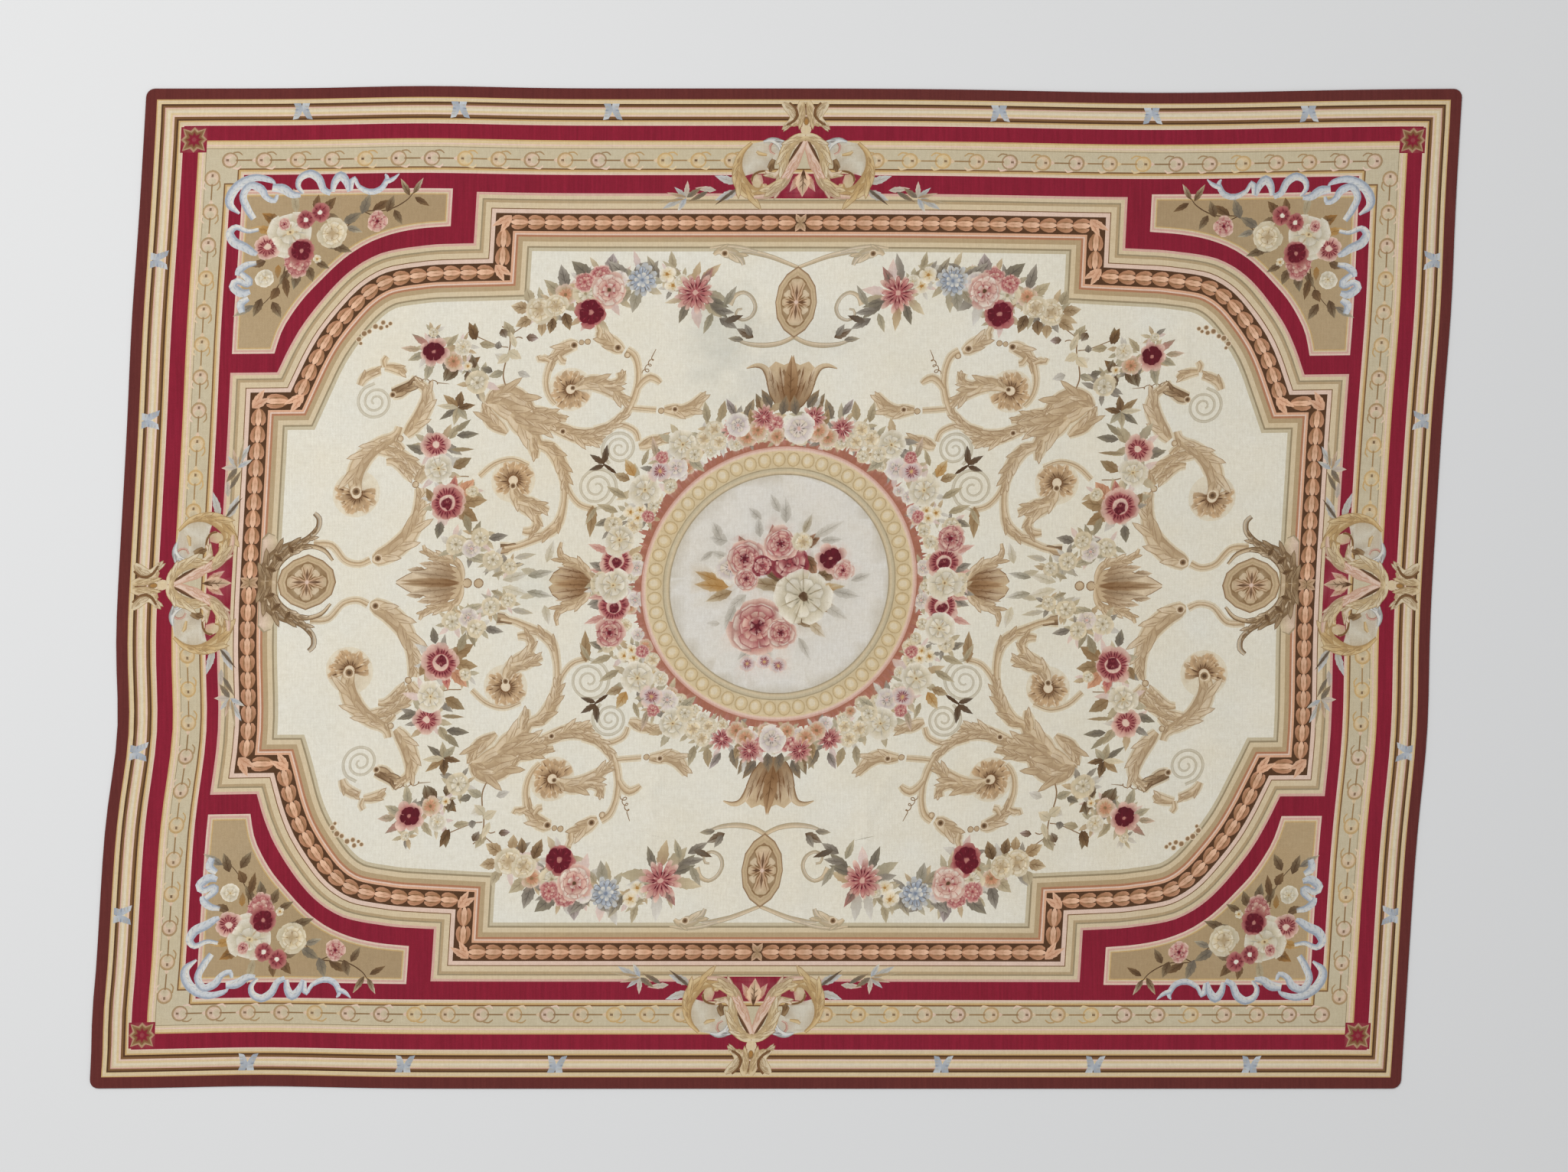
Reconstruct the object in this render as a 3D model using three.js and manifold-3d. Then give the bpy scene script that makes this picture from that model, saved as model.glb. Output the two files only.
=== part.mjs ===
// A flat-woven aubusson rug, lying face up on the floor. One woven cloth, with its plain edge band woven in one with it.
// Millimetres, +Z up. The origin is on the underside, at the middle of the rug's bounding box.
// The long sides run along X. Hand weaving has drawn the rug out of square, so the far side lies to the right of the near one.
import * as THREE from "three";
import { mergeVertices } from "three/addons/utils/BufferGeometryUtils.js";
import Module from "manifold-3d";

const FAR_LENGTH = 3662; // long side at +Y
const NEAR_LENGTH = 3649; // long side at -Y
const WIDTH = 2784; // between the long sides
const SKEW = 165.6; // how far the far side lies to the right of the near one
const THICKNESS = 4;
const EDGE_EASE = 1; // the small round of the woven edge, as a chamfer
const CORNER_RADIUS = 24;
const CORNER_STEPS = 5; // chords in each rounded corner
const SIDE_STEP = 75; // between points along an edge

// Where an edge bows out of its straight line: the place along the edge from its middle,
// how far it bows outwards at most, and how far along the edge the bow dies away.
const EDGE_BOWS = [
  { edge: "far", at: -1050, out: 7, reach: 260 },
  { edge: "far", at: 1000, out: -12, reach: 480 },
  { edge: "near", at: -1350, out: -7, reach: 260 },
  { edge: "left", at: -400, out: -21, reach: 190 },
  { edge: "left", at: 740, out: 4, reach: 220 },
  { edge: "left", at: -1180, out: 4, reach: 90 },
  { edge: "right", at: -400, out: 12, reach: 230 },
  { edge: "right", at: 780, out: 6, reach: 220 },
];

// Soft creases where the cloth stands off the floor: the two ends of each, its half width and its height.
const CREASES = [
  { x0: 263, y0: -525, x1: 249, y1: -752, half: 22, high: 3 },
  { x0: 262, y0: -636, x1: 326, y1: -506, half: 24, high: 3.2 },
  { x0: -196, y0: -632, x1: -8, y1: -660, half: 20, high: 2.6 },
  { x0: -368, y0: -590, x1: -310, y1: -516, half: 22, high: 2.6 },
  { x0: -347, y0: -556, x1: -347, y1: -744, half: 22, high: 2.2 },
  { x0: -600, y0: -704, x1: -376, y1: -707, half: 20, high: 1.8 },
  { x0: 74, y0: -716, x1: 72, y1: -934, half: 22, high: 2 },
  { x0: 1143, y0: 762, x1: 1141, y1: 584, half: 20, high: 2.6 },
  { x0: 1056, y0: -77, x1: 1238, y1: -48, half: 24, high: 2.4 },
  { x0: 1330, y0: -186, x1: 1168, y1: -284, half: 26, high: 3 },
  { x0: 1026, y0: -386, x1: 1238, y1: -350, half: 24, high: 2.4 },
  { x0: 1222, y0: 322, x1: 1243, y1: 194, half: 22, high: 2.2 },
  { x0: 48, y0: 335, x1: 238, y1: 234, half: 30, high: 3.2 },
  { x0: -1212, y0: -90, x1: -1120, y1: -230, half: 26, high: 2.6 },
  { x0: -820, y0: -360, x1: -640, y1: -430, half: 26, high: 2.2 },
  { x0: 560, y0: 560, x1: 700, y1: 470, half: 26, high: 2.2 },
];
const CREASE_RISE = 2; // a crease is the cap of an ellipsoid, whose half height is this many caps
const CREASE_SIDES = 16;
const CREASE_RINGS = 12;

const wasm = await Module();
wasm.setup();

function toSolid(geometry) {
  const bare = geometry.clone();
  bare.deleteAttribute("normal");
  bare.deleteAttribute("uv");
  const merged = mergeVertices(bare, 1e-3);
  return new wasm.Manifold(
    new wasm.Mesh({
      numProp: 3,
      vertProperties: new Float32Array(merged.attributes.position.array),
      triVerts: new Uint32Array(merged.index.array),
    }),
  );
}

function toGeometry(solid) {
  const mesh = solid.getMesh();
  return new THREE.BufferGeometry()
    .setAttribute("position", new THREE.BufferAttribute(mesh.vertProperties, 3))
    .setIndex(new THREE.BufferAttribute(mesh.triVerts, 1));
}

// How far an edge bows outwards, at a place along it.
function bowOf(edge, along) {
  return EDGE_BOWS.filter((bow) => bow.edge === edge).reduce(
    (sum, bow) => sum + bow.out * Math.exp(-(((along - bow.at) / bow.reach) ** 2)),
    0,
  );
}

// From the weaver's square frame, u along the length and v across, each from -1 to 1, to where the cloth lies.
function laid(u, v) {
  const half = (FAR_LENGTH * (1 + v) + NEAR_LENGTH * (1 - v)) / 4;
  const across = (v * WIDTH) / 2;
  const along = u * half;
  const farShare = (1 + v) / 2;
  const rightShare = (1 + u) / 2;
  const x =
    along +
    (v * SKEW) / 2 +
    rightShare * bowOf("right", across) -
    (1 - rightShare) * bowOf("left", across);
  const y =
    across +
    farShare * bowOf("far", along) -
    (1 - farShare) * bowOf("near", along);
  return new THREE.Vector2(x, y);
}

// The square frame's own outline, with round corners, as u and v.
function squareOutline() {
  const halfLength = (FAR_LENGTH + NEAR_LENGTH) / 4;
  const halfWidth = WIDTH / 2;
  const points = [];
  const corners = [
    { x: 1, y: -1, turn: -Math.PI / 2 },
    { x: 1, y: 1, turn: 0 },
    { x: -1, y: 1, turn: Math.PI / 2 },
    { x: -1, y: -1, turn: Math.PI },
  ];
  corners.forEach((corner, i) => {
    const centre = new THREE.Vector2(
      corner.x * (halfLength - CORNER_RADIUS),
      corner.y * (halfWidth - CORNER_RADIUS),
    );
    for (let k = 0; k <= CORNER_STEPS; k++) {
      const angle = corner.turn + ((Math.PI / 2) * k) / CORNER_STEPS;
      points.push(
        new THREE.Vector2(Math.cos(angle), Math.sin(angle))
          .multiplyScalar(CORNER_RADIUS)
          .add(centre),
      );
    }
    const next = corners[(i + 1) % corners.length];
    const start = points[points.length - 1];
    const alongX = next.y === corner.y;
    const end = alongX
      ? new THREE.Vector2(next.x * (halfLength - CORNER_RADIUS), start.y)
      : new THREE.Vector2(start.x, next.y * (halfWidth - CORNER_RADIUS));
    const steps = Math.round(start.distanceTo(end) / SIDE_STEP);
    for (let k = 1; k < steps; k++)
      points.push(new THREE.Vector2().lerpVectors(start, end, k / steps));
  });
  return points.map(
    (point) => new THREE.Vector2(point.x / halfLength, point.y / halfWidth),
  );
}

// The flat cloth, before its creases: the laid outline at the cloth's thickness, with eased edges.
function flatCloth(outline) {
  const geometry = new THREE.ExtrudeGeometry(new THREE.Shape(outline), {
    depth: THICKNESS - 2 * EDGE_EASE,
    bevelEnabled: true,
    bevelThickness: EDGE_EASE,
    bevelSize: EDGE_EASE,
    bevelOffset: -EDGE_EASE,
    bevelSegments: 1,
  });
  geometry.translate(0, 0, EDGE_EASE);
  return toSolid(geometry);
}

// A long low mound along a crease, standing on the given level.
function mound(crease, centre, level) {
  const length = Math.hypot(crease.x1 - crease.x0, crease.y1 - crease.y0);
  const footShare = Math.sqrt(1 - (1 - 1 / CREASE_RISE) ** 2);
  const geometry = new THREE.SphereGeometry(1, CREASE_SIDES, CREASE_RINGS);
  geometry.rotateX(Math.PI / 2);
  geometry.scale(
    length / 2 / footShare,
    crease.half / footShare,
    crease.high * CREASE_RISE,
  );
  geometry.rotateZ(Math.atan2(crease.y1 - crease.y0, crease.x1 - crease.x0));
  geometry.translate(
    (crease.x0 + crease.x1) / 2 - centre.x,
    (crease.y0 + crease.y1) / 2 - centre.y,
    level - crease.high * (CREASE_RISE - 1),
  );
  return toSolid(geometry);
}

// Everything above the floor, to cut off what the mounds leave below it.
function aboveFloor() {
  const high = 100;
  const slab = new THREE.BoxGeometry(2 * FAR_LENGTH, 2 * WIDTH, high);
  slab.translate(0, 0, high / 2);
  return toSolid(slab);
}

const outline = squareOutline().map((point) => laid(point.x, point.y));
const centre = new THREE.Box2().setFromPoints(outline).getCenter(new THREE.Vector2());
let cloth = flatCloth(outline.map((point) => point.clone().sub(centre)));
for (const crease of CREASES) cloth = cloth.add(mound(crease, centre, THICKNESS));
cloth = cloth.intersect(aboveFloor());
for (const crease of CREASES) cloth = cloth.subtract(mound(crease, centre, 0));

const wovenCloth = new THREE.Mesh(
  toGeometry(cloth),
  new THREE.MeshStandardMaterial({ color: 0xd8c8a4, roughness: 0.95, metalness: 0 }),
);
wovenCloth.name = "woven_cloth";

const rug = new THREE.Group();
rug.add(wovenCloth);
export default rug;
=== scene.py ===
"""A flat-woven aubusson rug, face up on a pale floor.

The pattern is drawn as areas of coloured wool in the weaver's square frame, a to the right and b up from
the middle, in millimetres. Later areas lie over earlier ones. The areas are then cut into one sheet of
triangles, laid out as the rug lies on the floor, a little out of square, and closed underneath.
"""
import math
import random
from collections import namedtuple

import bpy
import numpy as np
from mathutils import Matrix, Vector
from mathutils.geometry import delaunay_2d_cdt
from mathutils.kdtree import KDTree


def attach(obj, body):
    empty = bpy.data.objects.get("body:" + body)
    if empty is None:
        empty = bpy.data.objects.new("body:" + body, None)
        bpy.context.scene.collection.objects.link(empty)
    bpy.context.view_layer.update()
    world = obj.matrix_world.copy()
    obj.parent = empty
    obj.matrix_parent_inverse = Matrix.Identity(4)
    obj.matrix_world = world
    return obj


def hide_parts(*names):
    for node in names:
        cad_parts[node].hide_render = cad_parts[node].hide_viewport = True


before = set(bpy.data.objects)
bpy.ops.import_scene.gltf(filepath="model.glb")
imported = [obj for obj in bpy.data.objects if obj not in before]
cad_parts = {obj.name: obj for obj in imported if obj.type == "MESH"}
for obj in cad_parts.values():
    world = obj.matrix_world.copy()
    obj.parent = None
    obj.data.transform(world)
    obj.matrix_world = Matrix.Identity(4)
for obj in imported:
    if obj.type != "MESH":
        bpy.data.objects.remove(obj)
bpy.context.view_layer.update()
chance = random.Random(7)

# The rug's own measures, the same as its solid's
FAR_LENGTH = 3662
NEAR_LENGTH = 3649
WIDTH = 2784
SKEW = 165.6
THICKNESS = 4
CORNER_RADIUS = 24
CORNER_STEPS = 5
SIDE_STEP = 75
HALF_LENGTH = (FAR_LENGTH + NEAR_LENGTH) / 4
HALF_WIDTH = WIDTH / 2
# edge, place along it, how far it bows outwards, how far along it the bow reaches
EDGE_BOWS = [
    ("far", -1050, 7, 260), ("far", 1000, -12, 480), ("near", -1350, -7, 260), ("left", -400, -21, 190),
    ("left", 740, 4, 220), ("left", -1180, 4, 90), ("right", -400, 12, 230), ("right", 780, 6, 220),
]
# the two ends of each crease, its half width and its height
CREASES = [
    (263, -525, 249, -752, 22, 3), (262, -636, 326, -506, 24, 3.2), (-196, -632, -8, -660, 20, 2.6),
    (-368, -590, -310, -516, 22, 2.6), (-347, -556, -347, -744, 22, 2.2), (-600, -704, -376, -707, 20, 1.8),
    (74, -716, 72, -934, 22, 2), (1143, 762, 1141, 584, 20, 2.6), (1056, -77, 1238, -48, 24, 2.4),
    (1330, -186, 1168, -284, 26, 3), (1026, -386, 1238, -350, 24, 2.4), (1222, 322, 1243, 194, 22, 2.2),
    (48, 335, 238, 234, 30, 3.2), (-1212, -90, -1120, -230, 26, 2.6), (-820, -360, -640, -430, 26, 2.2),
    (560, 560, 700, 470, 26, 2.2),
]
CREASE_RISE = 2  # a crease is the cap of an ellipsoid, whose half height is this many caps

# The weaver drew the middle of the pattern a little off the middle of the cloth: distance out, and shift.
# The shift to the right dies away at the long sides, and the shift up at the ends: distance out, and share.
SHIFT_RIGHT = [(0, 11), (1350, 11), (1550, 6), (1700, 6), (1800, 1), (1831, 0)]
SHIFT_UP = [(0, 13), (520, 13), (800, 6), (1034, 3), (1250, 3), (1350, 1), (1392, 0)]
RIGHT_SHARE = [(0, 1), (1300, 1), (1392, 0)]
UP_SHARE = [(0, 1), (1650, 1), (1800, 0.3), (1831, 0)]

# Dyed wools, as red, green and blue from 0 to 255
WOOL = {
    "edge": (108, 48, 43), "cream": (218, 199, 166), "pale": (226, 213, 188), "gold": (204, 170, 116),
    "straw": (222, 200, 158), "brown": (128, 92, 56), "bark": (88, 58, 34), "crimson": (150, 30, 54),
    "garnet": (116, 26, 42), "pink": (216, 174, 160), "blush": (229, 201, 184), "rose": (190, 130, 120),
    "berry": (162, 76, 80), "wine": (104, 26, 38), "sage": (204, 191, 162), "olive": (160, 144, 114),
    "moss": (152, 143, 120), "grey": (182, 174, 160), "slate": (112, 102, 90), "tan": (160, 133, 98),
    "sand": (186, 162, 126), "fawn": (142, 112, 76), "field": (234, 229, 214), "butter": (228, 212, 182),
    "ground": (226, 221, 212), "husk": (222, 172, 140), "husk_light": (234, 192, 162),
    "husk_shade": (182, 128, 96), "coral": (168, 108, 86), "blue": (160, 168, 180), "mist": (204, 208, 212),
    "blue_dark": (128, 138, 156), "lilac": (208, 192, 190), "ochre": (176, 128, 66), "umber": (92, 66, 42),
    "white": (236, 229, 214), "scroll": (209, 185, 150), "scroll_light": (233, 215, 188),
    "scroll_dark": (148, 118, 86), "scroll_faint": (198, 188, 166), "fan": (200, 168, 130),
    "fan_dark": (118, 80, 46), "clasp_pale": (214, 206, 188), "ring": (222, 203, 166),
}


def wool(name):
    return np.array(WOOL[name], float) / 255


def blend(a, b, share):
    return wool(a) * (1 - share) + wool(b) * share


# An area of one wool, or of one shading into another: along the line between two ends, or out from the first
Area = namedtuple("Area", "outline near far ends round")


def area(outline, near, far=None, ends=None, round_out=False):
    outline = np.asarray(outline, float)
    near = wool(near) if isinstance(near, str) else np.asarray(near, float)
    far = near if far is None else wool(far) if isinstance(far, str) else np.asarray(far, float)
    ends = np.zeros((2, 2)) if ends is None else np.asarray(ends, float)
    return Area(outline, near, far, ends, round_out)


def moved(areas, x=0.0, y=0.0, turn=0.0):
    """The areas turned by degrees about (0, 0) and shifted."""
    t = math.radians(turn)
    m = np.array([[math.cos(t), -math.sin(t)], [math.sin(t), math.cos(t)]])
    shift = np.array([x, y])
    return [s._replace(outline=s.outline @ m.T + shift, ends=s.ends @ m.T + shift) for s in areas]


FOUR = [(1, 1), (-1, 1), (1, -1), (-1, -1)]
TOP_AND_BOTTOM = [(1, 1), (1, -1)]
SIDE_TO_SIDE = [(1, 1), (-1, 1)]


def mirrored(areas, places=FOUR):
    """The areas in each of the mirrored places, each place dyed a little differently."""
    made = []
    for place in places:
        sides = np.array(place)
        dye = 1 + chance.uniform(-0.015, 0.015)
        for s in areas:
            outline, ends = s.outline * sides, s.ends * sides
            made.append(s._replace(outline=outline, ends=ends, near=s.near * dye, far=s.far * dye))
    return made


# Outlines
def oval(cx, cy, rx, ry=None, turn=0.0, count=28):
    ry = rx if ry is None else ry
    a = np.linspace(0, 2 * math.pi, count, endpoint=False)
    t = math.radians(turn)
    x, y = rx * np.cos(a), ry * np.sin(a)
    return np.stack([cx + x * math.cos(t) - y * math.sin(t), cy + x * math.sin(t) + y * math.cos(t)], 1)


def box(x0, y0, x1, y1):
    return np.array([(x0, y0), (x1, y0), (x1, y1), (x0, y1)], float)


def curve(points, step=9.0):
    """A smooth line through given points, with any columns after x and y carried along."""
    p = np.asarray(points, float)
    p = np.vstack([2 * p[0] - p[1], p, 2 * p[-1] - p[-2]])
    made = []
    for a, b, c, d in zip(p, p[1:], p[2:], p[3:]):
        n = max(1, int(round(np.hypot(*(c - b)[:2]) / step)))
        for t in np.arange(n) / n:
            square, cube = 2 * a - 5 * b + 4 * c - d, 3 * b - a - 3 * c + d
            made.append(0.5 * (2 * b + (c - a) * t + square * t**2 + cube * t**3))
    made.append(p[-2])
    return np.array(made)


def normals(line):
    d = np.gradient(line[:, :2], axis=0)
    d /= np.maximum(np.hypot(*d.T), 1e-9)[:, None]
    return np.stack([-d[:, 1], d[:, 0]], 1)


THINNEST = 0.6  # of a ribbon


def ribbon(line, left=0.5, right=-0.5):
    """The band along a line of x, y and width, between two shares of the width to its left."""
    across = normals(line) * np.maximum(line[:, 2:3], THINNEST)
    up = line[:, :2] + across * left
    down = line[:, :2] + across * right
    return np.vstack([up, down[::-1]])


def along(line):
    """How far each point is along a line, in millimetres."""
    return np.concatenate([[0], np.cumsum(np.hypot(*np.diff(line[:, :2], axis=0).T))])


# Stripes round the rug: how far in from the edge each starts, and its wool
BORDER = [
    (0, "edge"), (31, "gold"), (34, "cream"), (40, "straw"), (44, "bark"), (49, "brown"), (54, "pink"),
    (57, "cream"), (62, "pale"), (69, "straw"), (75, "blush"), (80, "brown"), (86, "bark"), (91, "gold"),
    (95, "cream"), (103, "blush"), (106, "crimson"), (148, "gold"), (152, "straw"), (160, "blush"),
    (164, "cream"), (170, "olive"), (172, "sage"),
]
# The same inside the bell band, whose inner line is stepped: its corners in one quarter
BORDER_INNER = [(0, "brown"), (4, "gold"), (9, "cream"), (14, "blush"), (18, "crimson")]
BORDER_STEP = [(1567, 1166), (1567, 1125), (1603, 1125)]


def all_sides(quarter):
    """A closed outline from its corners in one quarter."""
    q = np.asarray(quarter, float)
    return np.vstack([q, (q * (1, -1))[::-1], q * (-1, -1), (q * (-1, 1))[::-1]])


def border():
    made = []
    for inset, near in BORDER:
        x, y = HALF_LENGTH - inset, HALF_WIDTH - inset
        made.append(area(box(-x, -y, x, y), near))
    for inset, near in BORDER_INNER:
        corners = np.array(BORDER_STEP, float) - inset
        made.append(area(all_sides(corners), near))
    return made


# The frame round the field: its outer line in one quarter, from the middle of the top to that of the side
FRAME_LINE = [
    (0, 1097), (904, 1097), (904, 953), (1010, 948), (1060, 942), (1110, 935), (1160, 923), (1210, 898),
    (1260, 858), (1310, 800), (1360, 729), (1396, 660), (1426, 588), (1553, 588), (1553, 0),
]
ARC = (2, 12)  # the first and last point of its arc
# How far in each of its bands starts, and its wool
FRAME = [
    (0, "pink"), (7, "cream"), (17, "olive"), (21, "sand"), (28, "cream"), (43, "brown"), (45.5, "blush"),
    (57, "bark"), (107, "husk"), (113, "blush"), (117, "husk_shade"), (123, "sand"), (136, "cream"),
    (149, "olive"), (154, "sage"), (163, "field"),
]


def inset_line(points, distance):
    """An open line moved to its left by a distance, with mitred corners."""
    p = np.asarray(points, float)
    d = np.diff(p, axis=0)
    d /= np.hypot(*d.T)[:, None]
    n = np.stack([-d[:, 1], d[:, 0]], 1)
    first, last = p[0] + n[0] * distance, p[-1] + n[-1] * distance
    inner = []
    for i in range(1, len(p) - 1):
        m = n[i - 1] + n[i]
        m /= m @ m / 2
        inner.append(p[i] + m * distance)
    return np.vstack([[first], inner, [last]])


def all_round(quarter):
    """A closed outline from the line across one quarter."""
    q = np.asarray(quarter, float)
    return np.vstack([q, (q * (1, -1))[::-1][1:], q[1:] * (-1, -1), (q * (-1, 1))[::-1][1:-1]])


def frame_line(distance):
    """The frame's outer line, its arc made smooth, moved in by a distance."""
    first, last = ARC
    arc = curve(FRAME_LINE[first : last + 1], 24)
    line = inset_line(np.vstack([FRAME_LINE[:first], arc, FRAME_LINE[last + 1 :]]), -distance)
    line[0, 0] = line[-1, 1] = 0
    return line


def field_frame():
    return [area(all_round(frame_line(inset)), near) for inset, near in FRAME]


# Small motifs, drawn about (0, 0) and pointing to the right
def shifted_dye(wool_value, spread):
    return wool_value * (1 + chance.uniform(-spread, spread))


def petal(reach, width, frill=0):
    """A rounded petal's outline, from its foot to its frilled tip."""
    t = np.array([0, 0.25, 0.5, 0.72, 0.88, 0.97])
    half = width * reach / 2 * np.array([0.18, 0.55, 0.86, 1.0, 0.72, 0.34])
    x = t * reach
    if frill:
        half = half * (1 + 0.12 * np.array([0, 1, -1, 1, -1, 1]))
        x = x + reach * np.array([0, 0, 0, 0.02, 0.05, -0.02])
    return np.vstack([np.column_stack([x, half]), np.column_stack([x, -half])[::-1]])


def lens(reach, width):
    """A small pointed leaf's outline in six points."""
    half = width / 2
    upper = [(0, 0), (0.35 * reach, half), (0.78 * reach, 0.6 * half), (reach, 0)]
    return np.array(upper + [(x, -y) for x, y in upper[-2:0:-1]])


def ragged(radius, count, spread=0.25):
    """A rough round outline."""
    a = np.arange(count) * 2 * math.pi / count
    r = [radius * (1 + chance.uniform(-spread, spread)) for _ in a]
    return np.column_stack([r * np.cos(a), r * np.sin(a)])


def wedge(start, stop, width):
    middle = (start + stop) / 2
    return np.array([(start, 0), (middle, width / 2), (stop, 0), (middle, -width / 2)])


def stroke(start, stop, width, near, turn=0.0, x=0.0, y=0.0):
    """A thin stroke of wool, turned by degrees and shifted."""
    return moved([area(wedge(start, stop, width), near)], x, y, turn)


# Flowers, in shares of the radius. First the petal rings from the outside in: how many, reach, width, wool
# at the foot, wool at the tip, frilled or not. Then the lines between petals: how many, start, stop, width,
# wool. Then the middle: size and wool.
FLOWERS = {
    "white": (
        [(7, 1.0, 0.9, "sage", "white", 1), (5, 0.62, 0.8, "sage", "white", 1)],
        [(7, 0.3, 0.85, 0.05, "grey"), (5, 0.15, 0.5, 0.06, "sand")],
        [(0.13, "straw"), (0.05, "fawn")],
    ),
    "faint": (
        [(6, 1.0, 0.95, "sage", "butter", 1), (5, 0.6, 0.8, "sage", "white", 1)],
        [(6, 0.3, 0.8, 0.05, "olive"), (5, 0.15, 0.5, 0.05, "grey")],
        [(0.12, "olive")],
    ),
    "star": (
        [(7, 1.3, 0.7, "rose", "blush", 0), (6, 0.82, 0.72, "wine", "wine", 1)],
        [(6, 0.2, 0.6, 0.04, "garnet")],
        [(0.13, "rose")],
    ),
    "red": (
        [(8, 1.0, 0.72, "berry", "rose", 1), (6, 0.62, 0.6, "berry", "berry", 0)],
        [(8, 0.25, 0.8, 0.06, "wine")],
        [(0.2, "white")],
    ),
    "dark": (
        [(8, 1.15, 0.7, "berry", "rose", 1), (8, 0.85, 0.6, "garnet", "garnet", 1)],
        [(8, 0.3, 0.85, 0.07, "wine"), (8, 0.5, 0.8, 0.04, "berry")],
        [(0.17, "rose")],
    ),
    "carnation": (
        [(12, 1.0, 0.5, "berry", "blush", 1), (10, 0.76, 0.5, "berry", "pink", 1),
         (8, 0.52, 0.5, "rose", "blush", 1), (5, 0.3, 0.6, "berry", "pink", 1)],
        [(12, 0.55, 0.9, 0.04, "berry")],
        [],
    ),
    "spiky": (
        [(13, 1.0, 0.26, "rose", "blush", 0), (12, 0.74, 0.22, "berry", "pink", 0),
         (9, 0.42, 0.24, "berry", "pink", 0)],
        [(13, 0.2, 0.62, 0.05, "wine")],
        [(0.12, "pink")],
    ),
    "peony": (
        [(9, 1.0, 0.7, "rose", "blush", 1), (8, 0.8, 0.7, "pink", "white", 1),
         (6, 0.6, 0.75, "rose", "blush", 1), (4, 0.36, 0.8, "rose", "white", 1)],
        [(8, 0.55, 0.9, 0.04, "rose"), (5, 0.2, 0.5, 0.06, "berry")],
        [(0.1, "umber")],
    ),
    "rose": (
        [(8, 1.0, 0.75, "rose", "blush", 1), (7, 0.8, 0.75, "berry", "blush", 1),
         (6, 0.6, 0.8, "rose", "blush", 1), (4, 0.42, 0.9, "berry", "pink", 1),
         (3, 0.24, 0.9, "wine", "blush", 1)],
        [(7, 0.5, 0.9, 0.04, "berry"), (5, 0.25, 0.55, 0.05, "wine")],
        [(0.1, "garnet")],
    ),
    "cream_rose": (
        [(7, 1.0, 0.85, "sage", "pale", 1), (6, 0.76, 0.85, "straw", "white", 1),
         (4, 0.5, 0.9, "sand", "pale", 1)],
        [(6, 0.4, 0.9, 0.04, "sand"), (4, 0.2, 0.5, 0.06, "tan")],
        [(0.12, "sand")],
    ),
    "blue": (
        [(13, 1.0, 0.34, "grey", "mist", 1), (10, 0.74, 0.4, "blue_dark", "mist", 1),
         (7, 0.45, 0.5, "blue", "white", 1)],
        [(13, 0.4, 0.85, 0.04, "slate")],
        [(0.1, "blue_dark")],
    ),
    "striped": (
        [(8, 1.0, 0.7, "rose", "blush", 1), (7, 0.6, 0.6, "berry", "rose", 0)],
        [(16, 0.25, 0.78, 0.06, "garnet")],
        [(0.22, "blush")],
    ),
    "deep_rose": (
        [(7, 1.0, 0.85, "garnet", "berry", 1), (6, 0.78, 0.9, "berry", "blush", 1),
         (5, 0.54, 0.9, "berry", "blush", 1), (3, 0.3, 0.9, "wine", "pink", 1)],
        [(6, 0.5, 0.95, 0.06, "wine"), (4, 0.2, 0.5, 0.06, "wine")],
        [(0.12, "berry")],
    ),
    "old_rose": (
        [(8, 1.0, 0.8, "rose", "blush", 1), (7, 0.84, 0.78, "rose", "white", 1),
         (6, 0.66, 0.8, "berry", "blush", 1), (5, 0.5, 0.8, "rose", "blush", 1),
         (4, 0.34, 0.9, "berry", "blush", 1), (3, 0.2, 0.9, "wine", "blush", 1)],
        [(7, 0.3, 0.62, 0.03, "berry"), (6, 0.1, 0.3, 0.05, "wine")],
        [(0.07, "wine")],
    ),
    "open": (
        [(6, 1.05, 0.8, "sage", "white", 1), (6, 0.7, 0.66, "sage", "white", 1)],
        [(6, 0.2, 0.95, 0.035, "olive"), (10, 0.15, 0.45, 0.04, "moss")],
        [(0.15, "umber")],
    ),
    "lilac": (
        [(6, 1.0, 0.95, "lilac", "white", 1), (5, 0.6, 0.8, "lilac", "pale", 1)],
        [(6, 0.2, 0.8, 0.05, "grey"), (9, 0.15, 0.4, 0.05, "slate")],
        [(0.12, "pink")],
    ),
    "apricot": (
        [(8, 1.0, 0.7, "sand", "blush", 1), (6, 0.62, 0.7, "husk_shade", "husk", 1)],
        [(12, 0.2, 0.75, 0.05, "husk_shade")],
        [(0.14, "fawn")],
    ),
    "violet": (
        [(7, 1.1, 0.72, "lilac", "blush", 1), (6, 0.7, 0.62, "rose", "lilac", 1)],
        [(13, 0.18, 0.66, 0.06, "wine")],
        [(0.15, "gold")],
    ),
    "blossom": ([(5, 1.0, 0.95, "straw", "white", 0)], [(5, 0.2, 0.6, 0.1, "gold")], [(0.2, "ochre")]),
}
CUP_STROKES = 26
CUP_WOOLS = ["garnet", "wine", "wine"]


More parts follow.
